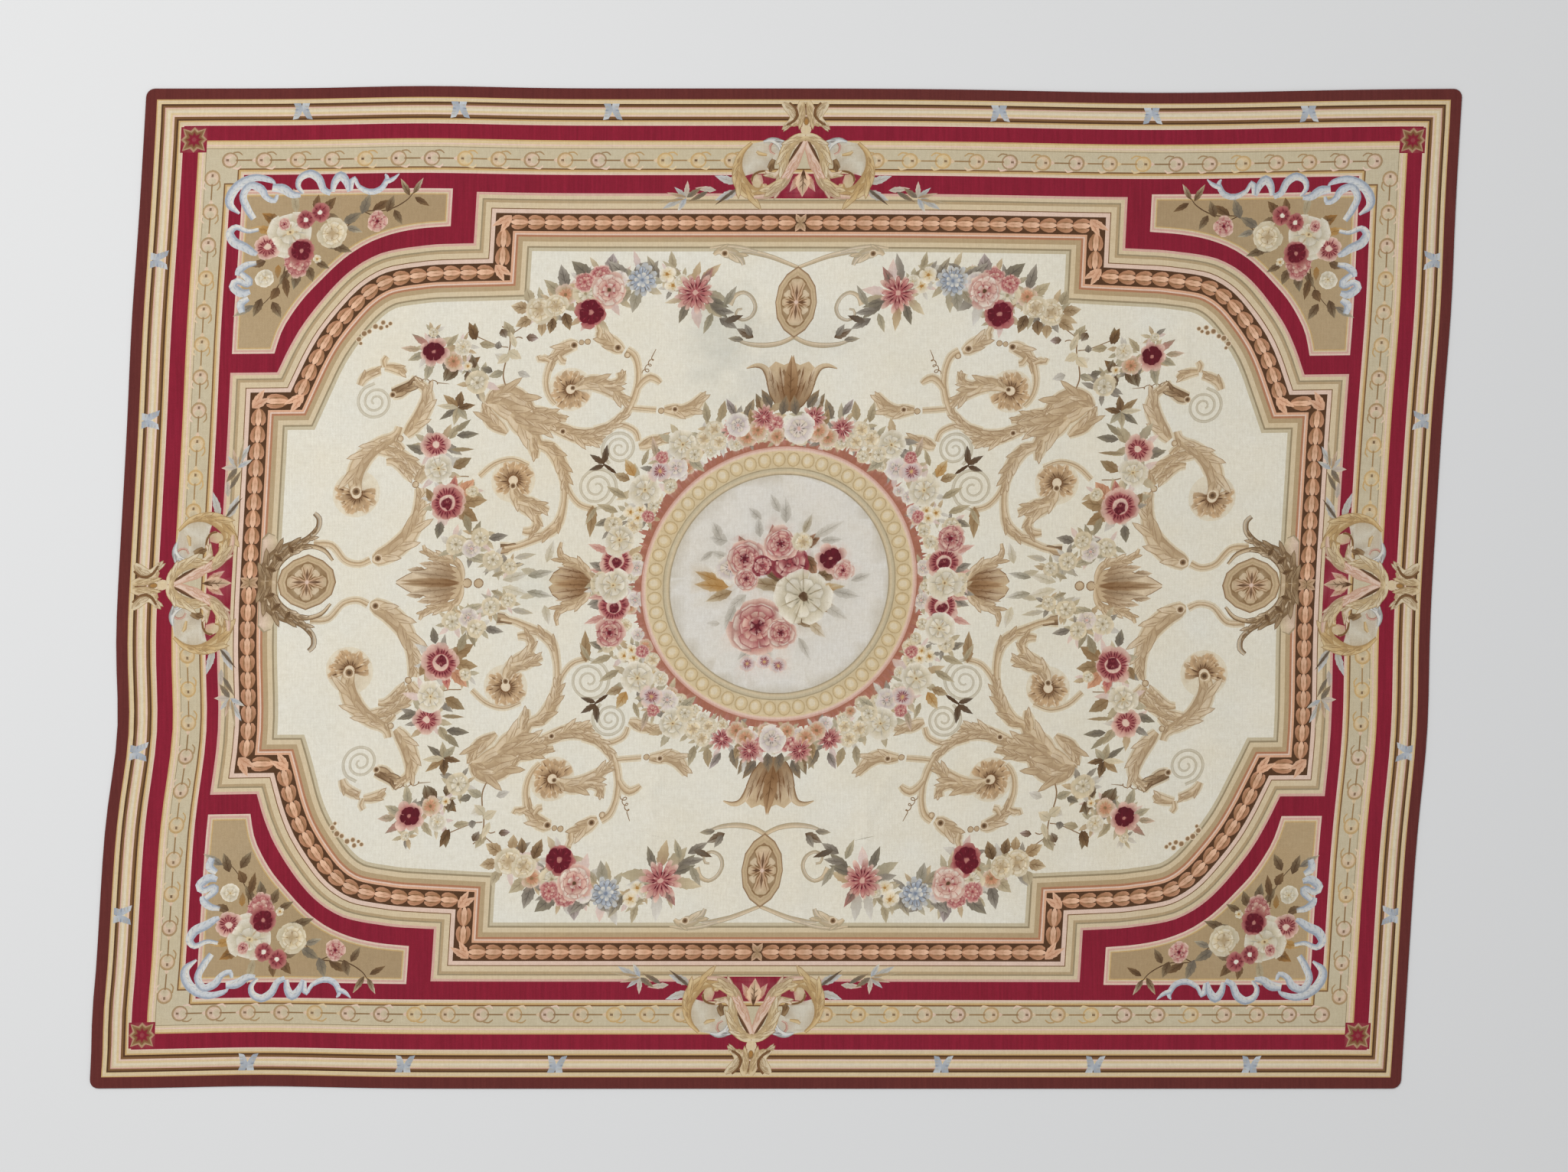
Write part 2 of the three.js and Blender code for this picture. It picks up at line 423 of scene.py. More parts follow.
def cup_flower(radius):
    """A flower seen half open: a pale cup round a dark heart, in ragged deep red petals."""
    made = []
    for count, reach, near, far in ((10, 1.2, "rose", "blush"), (9, 0.98, "berry", "rose")):
        first = chance.uniform(0, 360)
        for i in range(count):
            long = radius * reach * (1 + chance.uniform(-0.16, 0.1))
            tip = shifted_dye(wool(far), 0.05)
            a = area(petal(long, 0.62, 1), near, tip, [(long * 0.4, 0), (long, 0)])
            made += moved([a], turn=first + 360 * (i + chance.uniform(-0.2, 0.2)) / count)
    for i in range(CUP_STROKES):
        long = radius * chance.uniform(0.75, 1.0)
        turn = 360 * (i + chance.uniform(-0.3, 0.3)) / CUP_STROKES
        made += stroke(radius * 0.45, long, radius * 0.09, CUP_WOOLS[i % 3], turn)
    cup = ragged(radius * 0.56, 13, 0.07)
    made.append(area(cup, "berry"))
    made.append(area(cup * 0.9, "blush", "pink", [(0, radius * 0.5), (0, -radius * 0.4)]))
    heart = ragged(radius * 0.34, 11, 0.3) + (0, -radius * 0.08)
    made.append(area(heart, "wine"))
    for turn in (40, 75, 105, 150, 250, 290):
        near = "rose" if turn % 2 else "berry"
        made += stroke(radius * 0.06, radius * 0.3, radius * 0.08, near, turn, y=-radius * 0.1)
    return made


# Above these radii a flower's inner petals have a darker rim, and its outer ones hatched strokes
RIMMED = 32
HATCHED = 36


def flower(kind, radius):
    if kind == "cup":
        return cup_flower(radius)
    rings, lines, middles = FLOWERS[kind]
    made = []
    # how far out the next ring covers each ring's petals
    covered = [ring[1] * 0.8 for ring in rings[1:]] + [0.1]
    for k, (count, reach, width, near, far, frill) in enumerate(rings):
        start = chance.uniform(0, 360)
        for i in range(count):
            long = radius * reach * (1 + chance.uniform(-0.14, 0.12))
            foot, tip = shifted_dye(wool(near), 0.07), shifted_dye(wool(far), 0.05)
            a = petal(long, width * chance.uniform(0.85, 1.12), frill)
            petals = [area(a, foot, tip, [(radius * covered[k], 0), (long * 0.95, 0)])]
            if radius > RIMMED and k:
                petals.insert(0, area(petal(long * 1.05, width * 1.12, frill), foot * 0.7 + tip * 0.22))
            if radius > HATCHED and k < 2:
                hatch = foot * 0.6 + tip * 0.4
                for side in (-8, 7):
                    petals += stroke(long * 0.3, long * chance.uniform(0.7, 0.95), long * 0.07, hatch, side)
            made += moved(petals, turn=start + 360 * (i + chance.uniform(-0.15, 0.15)) / count)
    for count, start, stop, width, near in lines:
        first = chance.uniform(0, 360)
        for i in range(count):
            long = radius * stop * (1 + chance.uniform(-0.25, 0.1))
            turn = first + 360 * (i + chance.uniform(-0.25, 0.25)) / count
            made += stroke(radius * start, long, radius * width * 1.4, near, turn)
    for size, near in middles:
        made.append(area(ragged(radius * size * 1.15, 8, 0.3), near))
    return made


def flowers(table):
    """Flowers from a table: kind, place and radius."""
    return [s for kind, x, y, radius in table for s in moved(flower(kind, radius), x, y)]


VEINED = 45  # a leaf longer than this has side veins


def leaf(length, width, dark, light, vein=None, plain=False):
    """A pointed leaf from its foot at (0, 0), darker on one side of its midrib."""
    length = length * chance.uniform(0.94, 1.08)
    width = width * chance.uniform(0.9, 1.1)
    t = np.array([0, 0.16, 0.3, 0.34, 0.52, 0.56, 0.74, 0.78, 1.0])
    half = width / 2 * np.array([0.05, 0.66, 0.98, 0.84, 0.98, 0.8, 0.6, 0.46, 0.0])
    upper = np.vstack([np.column_stack([t * length, half]), [(0, 0)]])
    ends = [(0, 0), (length, 0)]
    dark, light = shifted_dye(wool(dark), 0.06), shifted_dye(wool(light), 0.04)
    made = [area(upper, dark, light, ends)]
    made.append(area(upper * (1, -1), dark * 0.8 + light * 0.2, dark * 0.3 + light * 0.7, ends))
    if plain:
        return made
    vein = dark * 0.9 if vein is None else wool(vein)
    made.append(area(wedge(0, length * 0.9, width * 0.08), vein))
    if length > VEINED:
        for at, side in ((0.2, 1), (0.42, 1), (0.3, -1), (0.52, -1)):
            made += stroke(0, width * 0.42, width * 0.06, vein, side * 38, at * length)
    return made


def leaves(table):
    """Leaves from a table: place of the foot, length, width, turn, dark wool, light wool."""
    made = []
    for x, y, long, wide, turn, dark, light in table:
        made += moved(leaf(long, wide, dark, light), x, y, turn)
    return made


def husk(long, high):
    """One husk of the chain, its narrow foot to the left: a pale middle lobe between two darker ones."""
    a, b = long / 2, high / 2
    lobe = [(-1.0, 0.1), (-0.8, 0.5), (-0.4, 0.84), (0.15, 1.0), (0.6, 0.95), (0.95, 0.68), (1.0, 0.4)]
    lobe = np.array(lobe + [(0.3, 0.3), (-0.5, 0.16)]) * (a, b)
    middle = [(-1.06, 0), (-0.7, 0.24), (-0.1, 0.42), (0.5, 0.4), (0.95, 0.2), (1.1, 0)]
    middle = np.array(middle + [(x, -y) for x, y in middle[-2:0:-1]]) * (a, b)
    light, mid = shifted_dye(wool("husk_light"), 0.05), shifted_dye(wool("husk"), 0.06)
    shade = blend("husk_shade", "husk", 0.45)
    dark = blend("husk_shade", "brown", 0.5)
    made = [
        area(lobe, shade, blend("husk_shade", "brown", 0.15), [(0.6 * a, 0.5 * b), (-0.9 * a, 0.5 * b)]),
        area(lobe * (1, -1), shade, dark, [(0.6 * a, -0.5 * b), (-0.9 * a, -0.5 * b)]),
        area(middle, mid, light, [(-a, 0), (0.7 * a, 0)]),
        area(wedge(-0.7 * a, 0.55 * a, 0.11 * b), dark),
    ]
    for side in (-1, 1):
        made.append(area(wedge(-0.6 * a, 0.9 * a, 0.16 * b) + (0, side * 0.44 * b), "brown"))
        made.append(area(wedge(-0.1 * a, 0.7 * a, 0.09 * b) + (0, side * 0.72 * b), dark))
    return made


def bell():
    """The bell on a stem of the outer border, its stem to the left."""
    dye = chance.random()
    ring = blend("tan", "gold", dye)
    body = blend("blush", "straw", dye)
    return [
        area(ribbon(curve([(-8, 21, 4), (-24, 22, 4), (-34, 14, 3)], 6)), ring),
        area(ribbon(curve([(-8, -21, 4), (-24, -24, 5), (-32, -16, 3)], 6)), body),
        area(oval(0, 0, 23, 22, count=16), ring),
        area(oval(-1, 0, 18, 17.5, count=14), body),
        area(oval(-8, 0, 10, 12, count=9), "sage"),
        area(box(3, -3, 11, 3), "umber"),
        area(box(-62, -2, -16, 2), blend("fawn", "gold", 0.35 * dye)),
        area([(-76, 0), (-68, 6), (-60, 0), (-68, -6)], body),
    ]


def knot():
    """The blue and white leaf pair on the outer moulding, opening downwards."""
    wing = np.array([(-2, 24), (-22, 24), (-17, 8), (-25, -16), (-27, -23), (-12, -20), (-4, -8), (2, 6)])
    made = [
        area(wing, "mist", "blue", [(0, 24), (-20, -20)]),
        area(wing * (-1, 1), "blue", "mist", [(0, 24), (20, -20)]),
    ]
    for side in (-1, 1):
        for y in (14, 5, -4, -12):
            a = wedge(-7, 7, 3) + (side * (13 + (14 - y) * 0.2), y)
            made.append(area(a, "blue_dark" if y % 2 else "grey"))
    return made


def star_rosette():
    """The star in a square at each corner of the border."""

    def star(diagonal, square, between):
        reach = np.array([square, between, diagonal, between] * 4, float)
        a = np.arange(16) * math.pi / 8
        return np.column_stack([reach * np.cos(a), reach * np.sin(a)])

    return [
        area(box(-36, -36, 36, 36), "crimson"),
        area(star(45, 36, 27), "sand"),
        area(star(39, 29, 21), "brown"),
        area(star(24, 22, 12), "crimson"),
        area(star(8, 8, 5), "berry"),
    ]


def drawn(line, near, shade=None, light=None, veins=None):
    """A band of wool along a line of x, y and width, shaded down one side and light on the other."""
    c = curve(line, 8)
    made = [area(ribbon(c), near)]
    if light:
        made.append(area(ribbon(c, 0.36, 0.08), light, near, [c[0, :2], c[-1, :2]]))
    if shade:
        made.append(area(ribbon(c, -0.26, -0.52), shade))
    if veins:
        n = normals(c)
        for k in range(2, len(c) - 1, 2):
            d = c[min(k + 1, len(c) - 1), :2] - c[k - 1, :2]
            turn = math.degrees(math.atan2(d[1], d[0]))
            w = c[k, 2]
            for side in (1, -1):
                at = c[k, :2] + n[k] * w * 0.08 * side
                made += stroke(0, w * 0.6, max(1.6, w * 0.08), veins, turn + side * 32, *at)
    return made


HUSK_LINE = 82  # how far in from the frame's outer line the husks run
HUSK_PITCH = 47
HUSK_HEIGHT = 41
HUSK_GAPS = (14, 20)  # free at the middle of a side, and at a corner


def husk_chain():
    """Husks along the frame, with leaves at its corners and crossed at the middle of each side."""
    made = []
    line = frame_line(HUSK_LINE)
    first, last = ARC
    cut = [0, *range(1, first + 1), len(line) - (len(FRAME_LINE) - last), len(line) - 2, len(line) - 1]
    for number, (i, j) in enumerate(zip(cut[:-1], cut[1:])):
        leg = line[i : j + 1]
        s = along(leg)
        start = HUSK_GAPS[number > 0]
        room = s[-1] - HUSK_GAPS[number < len(cut) - 2] - start
        count = max(1, round(room / HUSK_PITCH))
        for k in range(count):
            at = start + room * (k + 0.5) / count
            (x0, x, x1), (y0, y, y1) = (np.interp([at - 8, at, at + 8], s, c) for c in leg.T)
            turn = math.degrees(math.atan2(y1 - y0, x1 - x0))
            made += moved(husk(room / count + 1, HUSK_HEIGHT), x, y, turn)
    for k, turn in zip(cut[1:-1], (-45, -135, -40, 135)):
        a = math.radians(turn)
        x, y = line[k] - (26 * math.cos(a), 26 * math.sin(a))
        for side in (-14, 14):
            made += moved(leaf(58, 22, "husk", "husk_light", "husk_shade"), x, y, turn + side)
    for x, y, turn in ((0, line[0, 1], 60), (line[-1, 0], 0, 30)):
        for way in (0, 180):
            made += moved(leaf(30, 18, "tan", "husk_light", "brown"), x, y, turn + way)
    return made


# The corner panel: its straight corners and its arc in one quarter, and how far in each stripe starts
PANEL = np.array([(1551, 1105), (971, 1105), (1551, 642)], float)
PANEL_ARC = [
    (971, 1000), (1011, 997), (1061, 992), (1111, 983), (1161, 968), (1211, 945), (1261, 910), (1311, 861),
    (1361, 805), (1396, 752), (1421, 700), (1436, 642),
]
PANEL_STRIPES = [(0, "blush"), (5, "pink"), (10, "cream"), (14, "gold")]
PANEL_GROUND = 17  # how far in its ground starts


def corner_panel():
    closed = np.vstack([PANEL[:2], curve(PANEL_ARC, 24), PANEL[2:]])
    d = np.roll(closed, -1, 0) - closed
    d /= np.maximum(np.hypot(*d.T), 1e-6)[:, None]
    n = np.stack([-d[:, 1], d[:, 0]], 1)
    inward = np.roll(n, 1, 0) + n
    inward /= (inward * inward).sum(1)[:, None] / 2
    made = [area(closed + inward * inset, near) for inset, near in PANEL_STRIPES]
    ground = blend("tan", "sand", 0.55)
    made.append(area(closed + inward * PANEL_GROUND, ground, "sand", [(1000, 1105), (1551, 700)]))
    return made


# Tables of flowers give kind, place and radius. These are the corner bouquet's.
CORNER_FLOWERS = [
    ("carnation", 1389, 900, 42), ("white", 1420, 962, 46), ("striped", 1474, 944, 38),
    ("white", 1414, 986, 58), ("dark", 1381, 934, 34), ("red", 1374, 1021, 28), ("red", 1337, 1041, 28),
    ("cream_rose", 1298, 982, 42), ("white", 1474, 858, 26), ("rose", 1175, 1014, 30),
    ("rose", 1431, 1009, 18), ("blossom", 1336, 910, 12),
]
# Tables of leaves give the place of the foot, length, width, turn, dark wool and light wool
CORNER_LEAVES = [
    (1440, 1010, 62, 30, 30, "umber", "ochre"), (1455, 990, 70, 26, 8, "ochre", "gold"),
    (1350, 1050, 44, 22, 100, "umber", "fawn"), (1330, 1040, 56, 28, 130, "umber", "fawn"),
    (1320, 1030, 40, 22, 190, "umber", "olive"), (1400, 1040, 70, 24, 80, "olive", "sage"),
    (1320, 960, 44, 22, -150, "umber", "moss"), (1300, 950, 60, 24, -160, "umber", "olive"),
    (1360, 890, 50, 24, -110, "umber", "olive"), (1385, 880, 54, 26, -80, "umber", "moss"),
    (1410, 880, 50, 24, -60, "umber", "olive"), (1340, 905, 46, 20, -150, "umber", "olive"),
    (1270, 1010, 56, 26, 150, "slate", "olive"), (1260, 1000, 50, 20, -160, "slate", "sage"),
    (1420, 860, 60, 24, -100, "umber", "fawn"), (1435, 830, 40, 26, -60, "umber", "fawn"),
    (1450, 790, 50, 26, -120, "umber", "olive"), (1480, 800, 60, 26, -70, "umber", "olive"),
    (1500, 780, 60, 22, -30, "slate", "sage"), (1220, 1035, 60, 30, 110, "slate", "olive"),
    (1190, 1045, 56, 26, 150, "umber", "fawn"), (1150, 1040, 50, 24, 110, "umber", "olive"),
    (1130, 1045, 46, 20, -120, "umber", "olive"), (1090, 1085, 54, 18, 60, "umber", "cream"),
    (1080, 1090, 50, 16, 120, "umber", "pale"), (1075, 1080, 46, 16, -150, "umber", "fawn"),
    (1475, 905, 40, 22, -20, "umber", "tan"), (1440, 895, 40, 20, -90, "ochre", "tan"),
]
# Lines of x, y and width
CORNER_STEMS = [
    [(1260, 1000, 3), (1215, 1040, 3), (1150, 1045, 3), (1100, 1070, 3), (1075, 1100, 2)],
    [(1215, 1042, 3), (1190, 1030, 3), (1180, 1020, 3)],
    [(1420, 900, 3), (1430, 850, 3), (1460, 800, 2), (1500, 760, 2)],
]
# The same for the ribbon
RIBBONS = [
    [(1555, 1040, 6), (1583, 1065, 22), (1580, 1095, 26), (1555, 1125, 24), (1515, 1140, 20),
     (1475, 1132, 14), (1462, 1122, 4)],
    [(1515, 1025, 16), (1535, 1055, 20), (1548, 1090, 20), (1530, 1118, 20), (1500, 1108, 22),
     (1485, 1085, 16), (1462, 1075, 14), (1455, 1092, 8)],
    [(1470, 1112, 20), (1440, 1108, 26), (1415, 1092, 20), (1392, 1090, 12)],
    [(1385, 1095, 8), (1400, 1115, 14), (1395, 1138, 18), (1370, 1150, 22), (1345, 1135, 22),
     (1330, 1105, 18), (1310, 1094, 14)],
    [(1305, 1098, 12), (1300, 1125, 20), (1285, 1143, 24), (1268, 1125, 20), (1258, 1098, 12)],
    [(1254, 1100, 10), (1252, 1130, 14), (1245, 1136, 10), (1233, 1112, 12), (1200, 1096, 16),
     (1170, 1105, 16), (1155, 1132, 14), (1162, 1145, 4)],
    [(1160, 1122, 12), (1140, 1130, 12), (1122, 1146, 3)],
    [(1500, 995, 10), (1530, 990, 12), (1562, 1002, 16), (1578, 985, 22), (1565, 960, 26), (1535, 945, 24),
     (1512, 930, 18), (1500, 925, 10)],
    [(1500, 900, 12), (1525, 895, 18), (1545, 880, 20), (1550, 865, 12)],
    [(1540, 872, 14), (1515, 850, 18), (1520, 838, 14), (1548, 850, 18), (1560, 835, 22), (1535, 815, 24),
     (1512, 820, 14)],
    [(1515, 800, 14), (1535, 785, 22), (1530, 760, 16)],
]


def corner_bouquet():
    made = []
    for line in CORNER_STEMS:
        made += drawn(line, "umber")
    made += leaves(CORNER_LEAVES) + flowers(CORNER_FLOWERS)
    for line in RIBBONS:
        made += drawn(line, "mist", shade="blue", light="white", veins="blue")
    return made


# Scrolls and leaves of the field
def glow(line):
    """The warm wool close round a scroll."""
    return [area(ribbon(curve(line, 12) + (0, 0, 14)), blend("field", "butter", 0.8))]


def scroll(line, near="scroll", far=None, dark="scroll_dark", light="scroll_light", spread=1.0):
    """A leafy scroll along a line of x, y and width: a shaded body under long lobes, out to both sides."""
    c = curve(line, 9)
    s, n, d = along(c), normals(c), np.gradient(c[:, :2], axis=0)
    far = near if far is None else far
    contour = blend(near, dark, 0.7)
    shade = blend(near, dark, 0.35)
    made = [area(ribbon(c + (0, 0, 2)), contour)]
    made.append(area(ribbon(c, 0.5, -0.5), near, far, [c[0, :2], c[-1, :2]]))
    made.append(area(ribbon(c, 0.42, 0.08), blend(near, light, 0.7)))
    made.append(area(ribbon(c, -0.22, -0.5), shade))
    next_lobe, side = 4.0, 1
    for k in range(1, len(c) - 1):
        w = c[k, 2]
        if w < 15 or s[k] < next_lobe or s[k] > s[-1] - 10:
            continue
        next_lobe = s[k] + max(11.0, w * chance.uniform(0.45, 0.62))
        side = -side
        turn = math.degrees(math.atan2(d[k, 1], d[k, 0])) + side * spread * chance.uniform(15, 27)
        foot, tip = (near, blend(near, light, 0.9)) if side > 0 else (shade, blend(near, light, 0.3))
        long = min(w * chance.uniform(1.35, 1.8) + 4, (s[-1] - s[k]) * 1.1 + 4)
        wide = min(w * 0.5, long * 0.6)
        lobe = [
            area(lens(long + 3, wide + 4), contour),
            area(lens(long, wide), foot, tip, [(0, 0), (long * 0.8, 0)]),
            area(wedge(long * 0.08, long * 0.8, 2.6) - (0, side * wide * 0.16), blend(near, dark, 0.85)),
        ]
        made += moved(lobe, *c[k, :2], turn)
    return made


def eye(x, y, radius, dark="umber"):
    return [
        area(oval(x, y, radius, count=10), "scroll_light"),
        area(oval(x, y, radius * 0.74, count=9), "scroll_dark"),
        area(oval(x, y, radius * 0.42, count=7), dark),
    ]


def bead(x, y, radius):
    inner = oval(x, y, radius * 0.8, count=10)
    return [
        area(oval(x, y, radius, count=11), "scroll_dark"),
        area(inner, "scroll_light", "scroll", [(x, y), (x + radius, y)], True),
    ]


def fan(x, y, radius, start, stop):
    """A feathery fan of narrow petals between two directions, in degrees."""
    made = [area(oval(x, y, radius * 1.1, count=22), blend("field", "butter", 0.5))]
    foot = blend("bark", "fan", 0.6)
    for reach, pitch in ((1.0, 11), (0.74, 15)):
        count = int((stop - start) / pitch)
        for k in range(count):
            long = radius * reach * (1 + chance.uniform(-0.16, 0.12))
            turn = start + (stop - start) * (k + 0.5) / count + chance.uniform(-4, 4)
            tip = shifted_dye(wool("fan"), 0.07)
            feather = [
                area(petal(long, 0.3 / reach, 1), foot, tip, [(long * 0.4, 0), (long * 0.8, 0)]),
                area(wedge(long * 0.15, long * chance.uniform(0.7, 0.9), 6), "bark"),
                area(wedge(long * 0.6, long * 1.02, 4) + (0, radius * 0.07), "scroll_light"),
            ]
            made += moved(feather, x, y, turn)
    made.append(area(oval(x, y, radius * 0.3, count=12), "fan_dark"))
    made.append(area(oval(x, y, radius * 0.24, count=12), "scroll_light"))
    return made


def spiral(x, y, radius, turns, width, start, way):
    """A thin coiled line, from the outside in."""
    share = np.linspace(0, 1, int(9 * turns) + 1)
    r = radius * (1 - 0.86 * share)
    a = np.radians(start + way * 360 * turns * share)
    c = curve(np.column_stack([x + r * np.cos(a), y + r * np.sin(a), width * (1 - 0.4 * share)]), 7)
    light = blend("scroll_faint", "field", 0.5)
    return [area(ribbon(c), "scroll_faint"), area(ribbon(c, 0.3, -0.1), light)]


# Scrolls of one quarter: lines of x, y and width
SCROLLS = [
    [(851, 297, 5), (811, 332, 6), (761, 345, 6), (715, 330, 3)],
    [(1301, 105, 12), (1251, 102, 10), (1211, 60, 8), (1171, 50, 8), (1141, 62, 10)],
    [(441, 490, 6), (411, 487, 6), (370, 484, 6)],
    [(612, 285, 8), (595, 250, 6), (570, 222, 6), (545, 212, 6), (523, 208, 5)],
    [(540, 430, 8), (500, 440, 9), (460, 442, 8), (425, 425, 7), (414, 398, 5)],
    [(691, 388, 18), (660, 378, 28), (636, 350, 30), (620, 318, 26), (612, 285, 18), (611, 250, 12),
     (613, 215, 12), (622, 175, 18), (640, 150, 22), (670, 132, 16), (700, 118, 12), (735, 104, 10),
     (770, 98, 10)],
    [(651, 440, 26), (601, 418, 30), (551, 416, 26), (511, 428, 22), (471, 458, 18), (445, 490, 14),
     (430, 530, 12), (424, 570, 11), (428, 610, 10), (440, 640, 12), (461, 655, 12)],
    [(598, 668, 14), (615, 668, 28), (640, 655, 28), (662, 630, 18), (675, 600, 11), (680, 570, 9),
     (676, 540, 8), (664, 515, 7), (650, 500, 5)],
    [(672, 622, 8), (690, 630, 12), (702, 628, 8), (706, 638, 4)],
    [(650, 640, 8), (638, 622, 12), (628, 620, 8)],
    [(470, 652, 10), (482, 658, 26), (505, 674, 34), (530, 688, 26), (546, 690, 14)],
    [(541, 690, 12), (538, 710, 12), (545, 724, 10), (536, 726, 8)],
    [(600, 545, 14), (575, 557, 30), (545, 560, 38), (515, 550, 36), (485, 530, 26), (460, 510, 14),
     (445, 500, 8)],
    [(520, 556, 14), (490, 558, 18), (472, 572, 17), (476, 592, 14)],
    [(425, 545, 8), (411, 565, 12), (391, 577, 14), (371, 568, 10), (362, 560, 4)],
    [(348, 484, 12), (325, 484, 24), (295, 480, 30), (268, 492, 30), (250, 512, 22), (240, 532, 6)],
    [(651, 430, 12), (611, 420, 26), (571, 405, 26), (531, 400, 16), (515, 392, 6)],
    [(771, 480, 12), (720, 478, 26), (670, 470, 26), (640, 462, 16), (618, 455, 4)],
    [(841, 500, 10), (822, 520, 32), (790, 528, 46), (755, 518, 42), (728, 500, 24), (712, 485, 6)],
    [(780, 418, 6), (798, 432, 24), (820, 448, 34), (838, 472, 28), (843, 498, 12)],
    [(840, 500, 14), (815, 500, 40), (780, 482, 52), (745, 465, 48), (712, 452, 40), (680, 446, 34),
     (645, 438, 24)],
    [(775, 470, 30), (745, 440, 42), (715, 420, 36), (700, 400, 26), (690, 388, 18)],
    [(712, 405, 8), (706, 384, 22), (700, 364, 18), (696, 348, 4)],
    [(756, 275, 14), (748, 245, 28), (722, 222, 38), (695, 205, 36), (676, 190, 20)],
    [(740, 232, 20), (705, 225, 24), (675, 212, 18), (652, 205, 5)],
    [(690, 190, 14), (682, 168, 18), (690, 150, 18), (708, 145, 14), (722, 147, 8)],
    [(1136, 65, 8), (1122, 66, 34), (1088, 82, 44), (1052, 112, 46), (1026, 152, 36), (1014, 195, 28),
     (1011, 235, 24), (1014, 262, 18)],
    [(1024, 280, 18), (1012, 300, 26), (990, 318, 28), (970, 335, 14)],
    [(1145, 368, 12), (1118, 366, 22), (1085, 358, 26), (1052, 338, 26), (1022, 312, 22)],
    [(1112, 336, 10), (1095, 337, 16), (1070, 322, 20), (1050, 300, 18), (1035, 288, 12)],
    [(1142, 392, 8), (1110, 392, 16), (1085, 383, 14), (1068, 368, 8)],
    [(1080, 432, 12), (1085, 415, 16), (1100, 400, 22), (1130, 385, 32), (1160, 362, 38), (1182, 335, 44),
     (1194, 305, 42), (1196, 275, 36), (1191, 250, 24)],
    [(1062, 408, 16), (1045, 428, 32), (1024, 460, 36), (1008, 500, 34), (1010, 532, 20), (1028, 550, 16),
     (1050, 556, 8)],
    [(1196, 548, 10), (1185, 570, 18), (1160, 585, 18), (1140, 590, 12)],
    [(1130, 600, 10), (1108, 598, 18), (1085, 590, 20), (1072, 580, 8)],
    [(1128, 600, 6), (1133, 618, 9), (1125, 630, 5)],
    [(412, 382, 8), (395, 388, 24), (370, 398, 24), (340, 402, 12), (322, 403, 3)],
]
# Darker scrolls
DARK_SCROLLS = [
    [(1106, 524, 22), (1085, 530, 30), (1062, 545, 22), (1046, 560, 14), (1042, 574, 8)],
    [(781, 96, 26), (762, 98, 22), (745, 103, 8)],
]
# The knots that scrolls end in, and loose beads: place and radius
EYES = [
    (1104, 521, 10), (1191, 252, 15), (626, 424, 9), (318, 486, 9), (608, 668, 12), (486, 661, 12),
    (1120, 66, 12), (756, 272, 10), (605, 546, 9),
]
BEADS = [
    (1076, 399, 9), (1027, 272, 10), (356, 482, 9), (459, 640, 9), (571, 678, 9), (588, 676, 8),
    (868, 0, 14), (836, 0, 14),
]
# Fans: place, radius and the two directions they lie between
FANS = [(756, 287, 56, -60, 235), (611, 542, 56, -160, 160), (1190, 246, 60, 165, 380)]
# Coils: place, radius, turns, width, where they start, and which way they turn
SPIRALS = [(1151, 502, 52, 2.4, 9, 85, -1), (523, 269, 60, 2.6, 9, -90, -1), (466, 377, 50, 2.6, 9, -60, 1)]
# Plain stems: lines of x, y and width
STEMS = [
    [(990, 330, 3), (930, 300, 3), (880, 296, 3)],
    [(811, 720, 3), (790, 700, 4), (786, 660, 4), (795, 620, 4), (800, 580, 4), (790, 545, 4)],
    [(786, 680, 3), (765, 690, 3), (752, 686, 3)],
    [(786, 690, 3), (800, 712, 3)],
    [(790, 660, 3), (820, 665, 3), (880, 690, 3)],
    [(780, 700, 3), (740, 730, 3), (715, 745, 3)],
]
# Tendrils: from x, y to x, y, and how many loops
TENDRILS = [(1050, 562, 985, 556, 3), (416, 588, 395, 634, 3)]
CURL = 8.5  # a tendril's loops at their widest


def tendril(x0, y0, x1, y1, loops):
    """A thin line that curls in loops on its way and runs out straight."""
    t = np.linspace(0, 1, 12 * loops + 1)
    reach = CURL * (1 - 0.5 * t)
    a = 2 * math.pi * loops * t
    x = x0 + (x1 - x0) * t + reach * np.cos(a) - CURL
    y = y0 + (y1 - y0) * t + reach * np.sin(a)
    line = np.column_stack([x, y, np.full(len(t), 2.6)])
    tail = line[-1] + ((x1 - x0) * 0.5, (y1 - y0) * 0.5, -1.2)
    return area(ribbon(np.vstack([line, tail])), "scroll_dark")


def field_scrolls():
    made = []
    for line in DARK_SCROLLS + SCROLLS:
        made += glow(line)
    made += [area(ribbon(curve(line, 8)), "scroll_dark") for line in STEMS]
    made += [tendril(*row) for row in TENDRILS]
    for row in SPIRALS:
        made += spiral(*row)
    for line in DARK_SCROLLS:
        made += scroll(line, "scroll_dark", "scroll", "umber", "scroll")
    for row in FANS:
        made += fan(*row)
    for line in SCROLLS:
        made += scroll(line)
    for row in EYES:
        made += eye(*row)
    for row in BEADS:
        made += bead(*row)
    return made


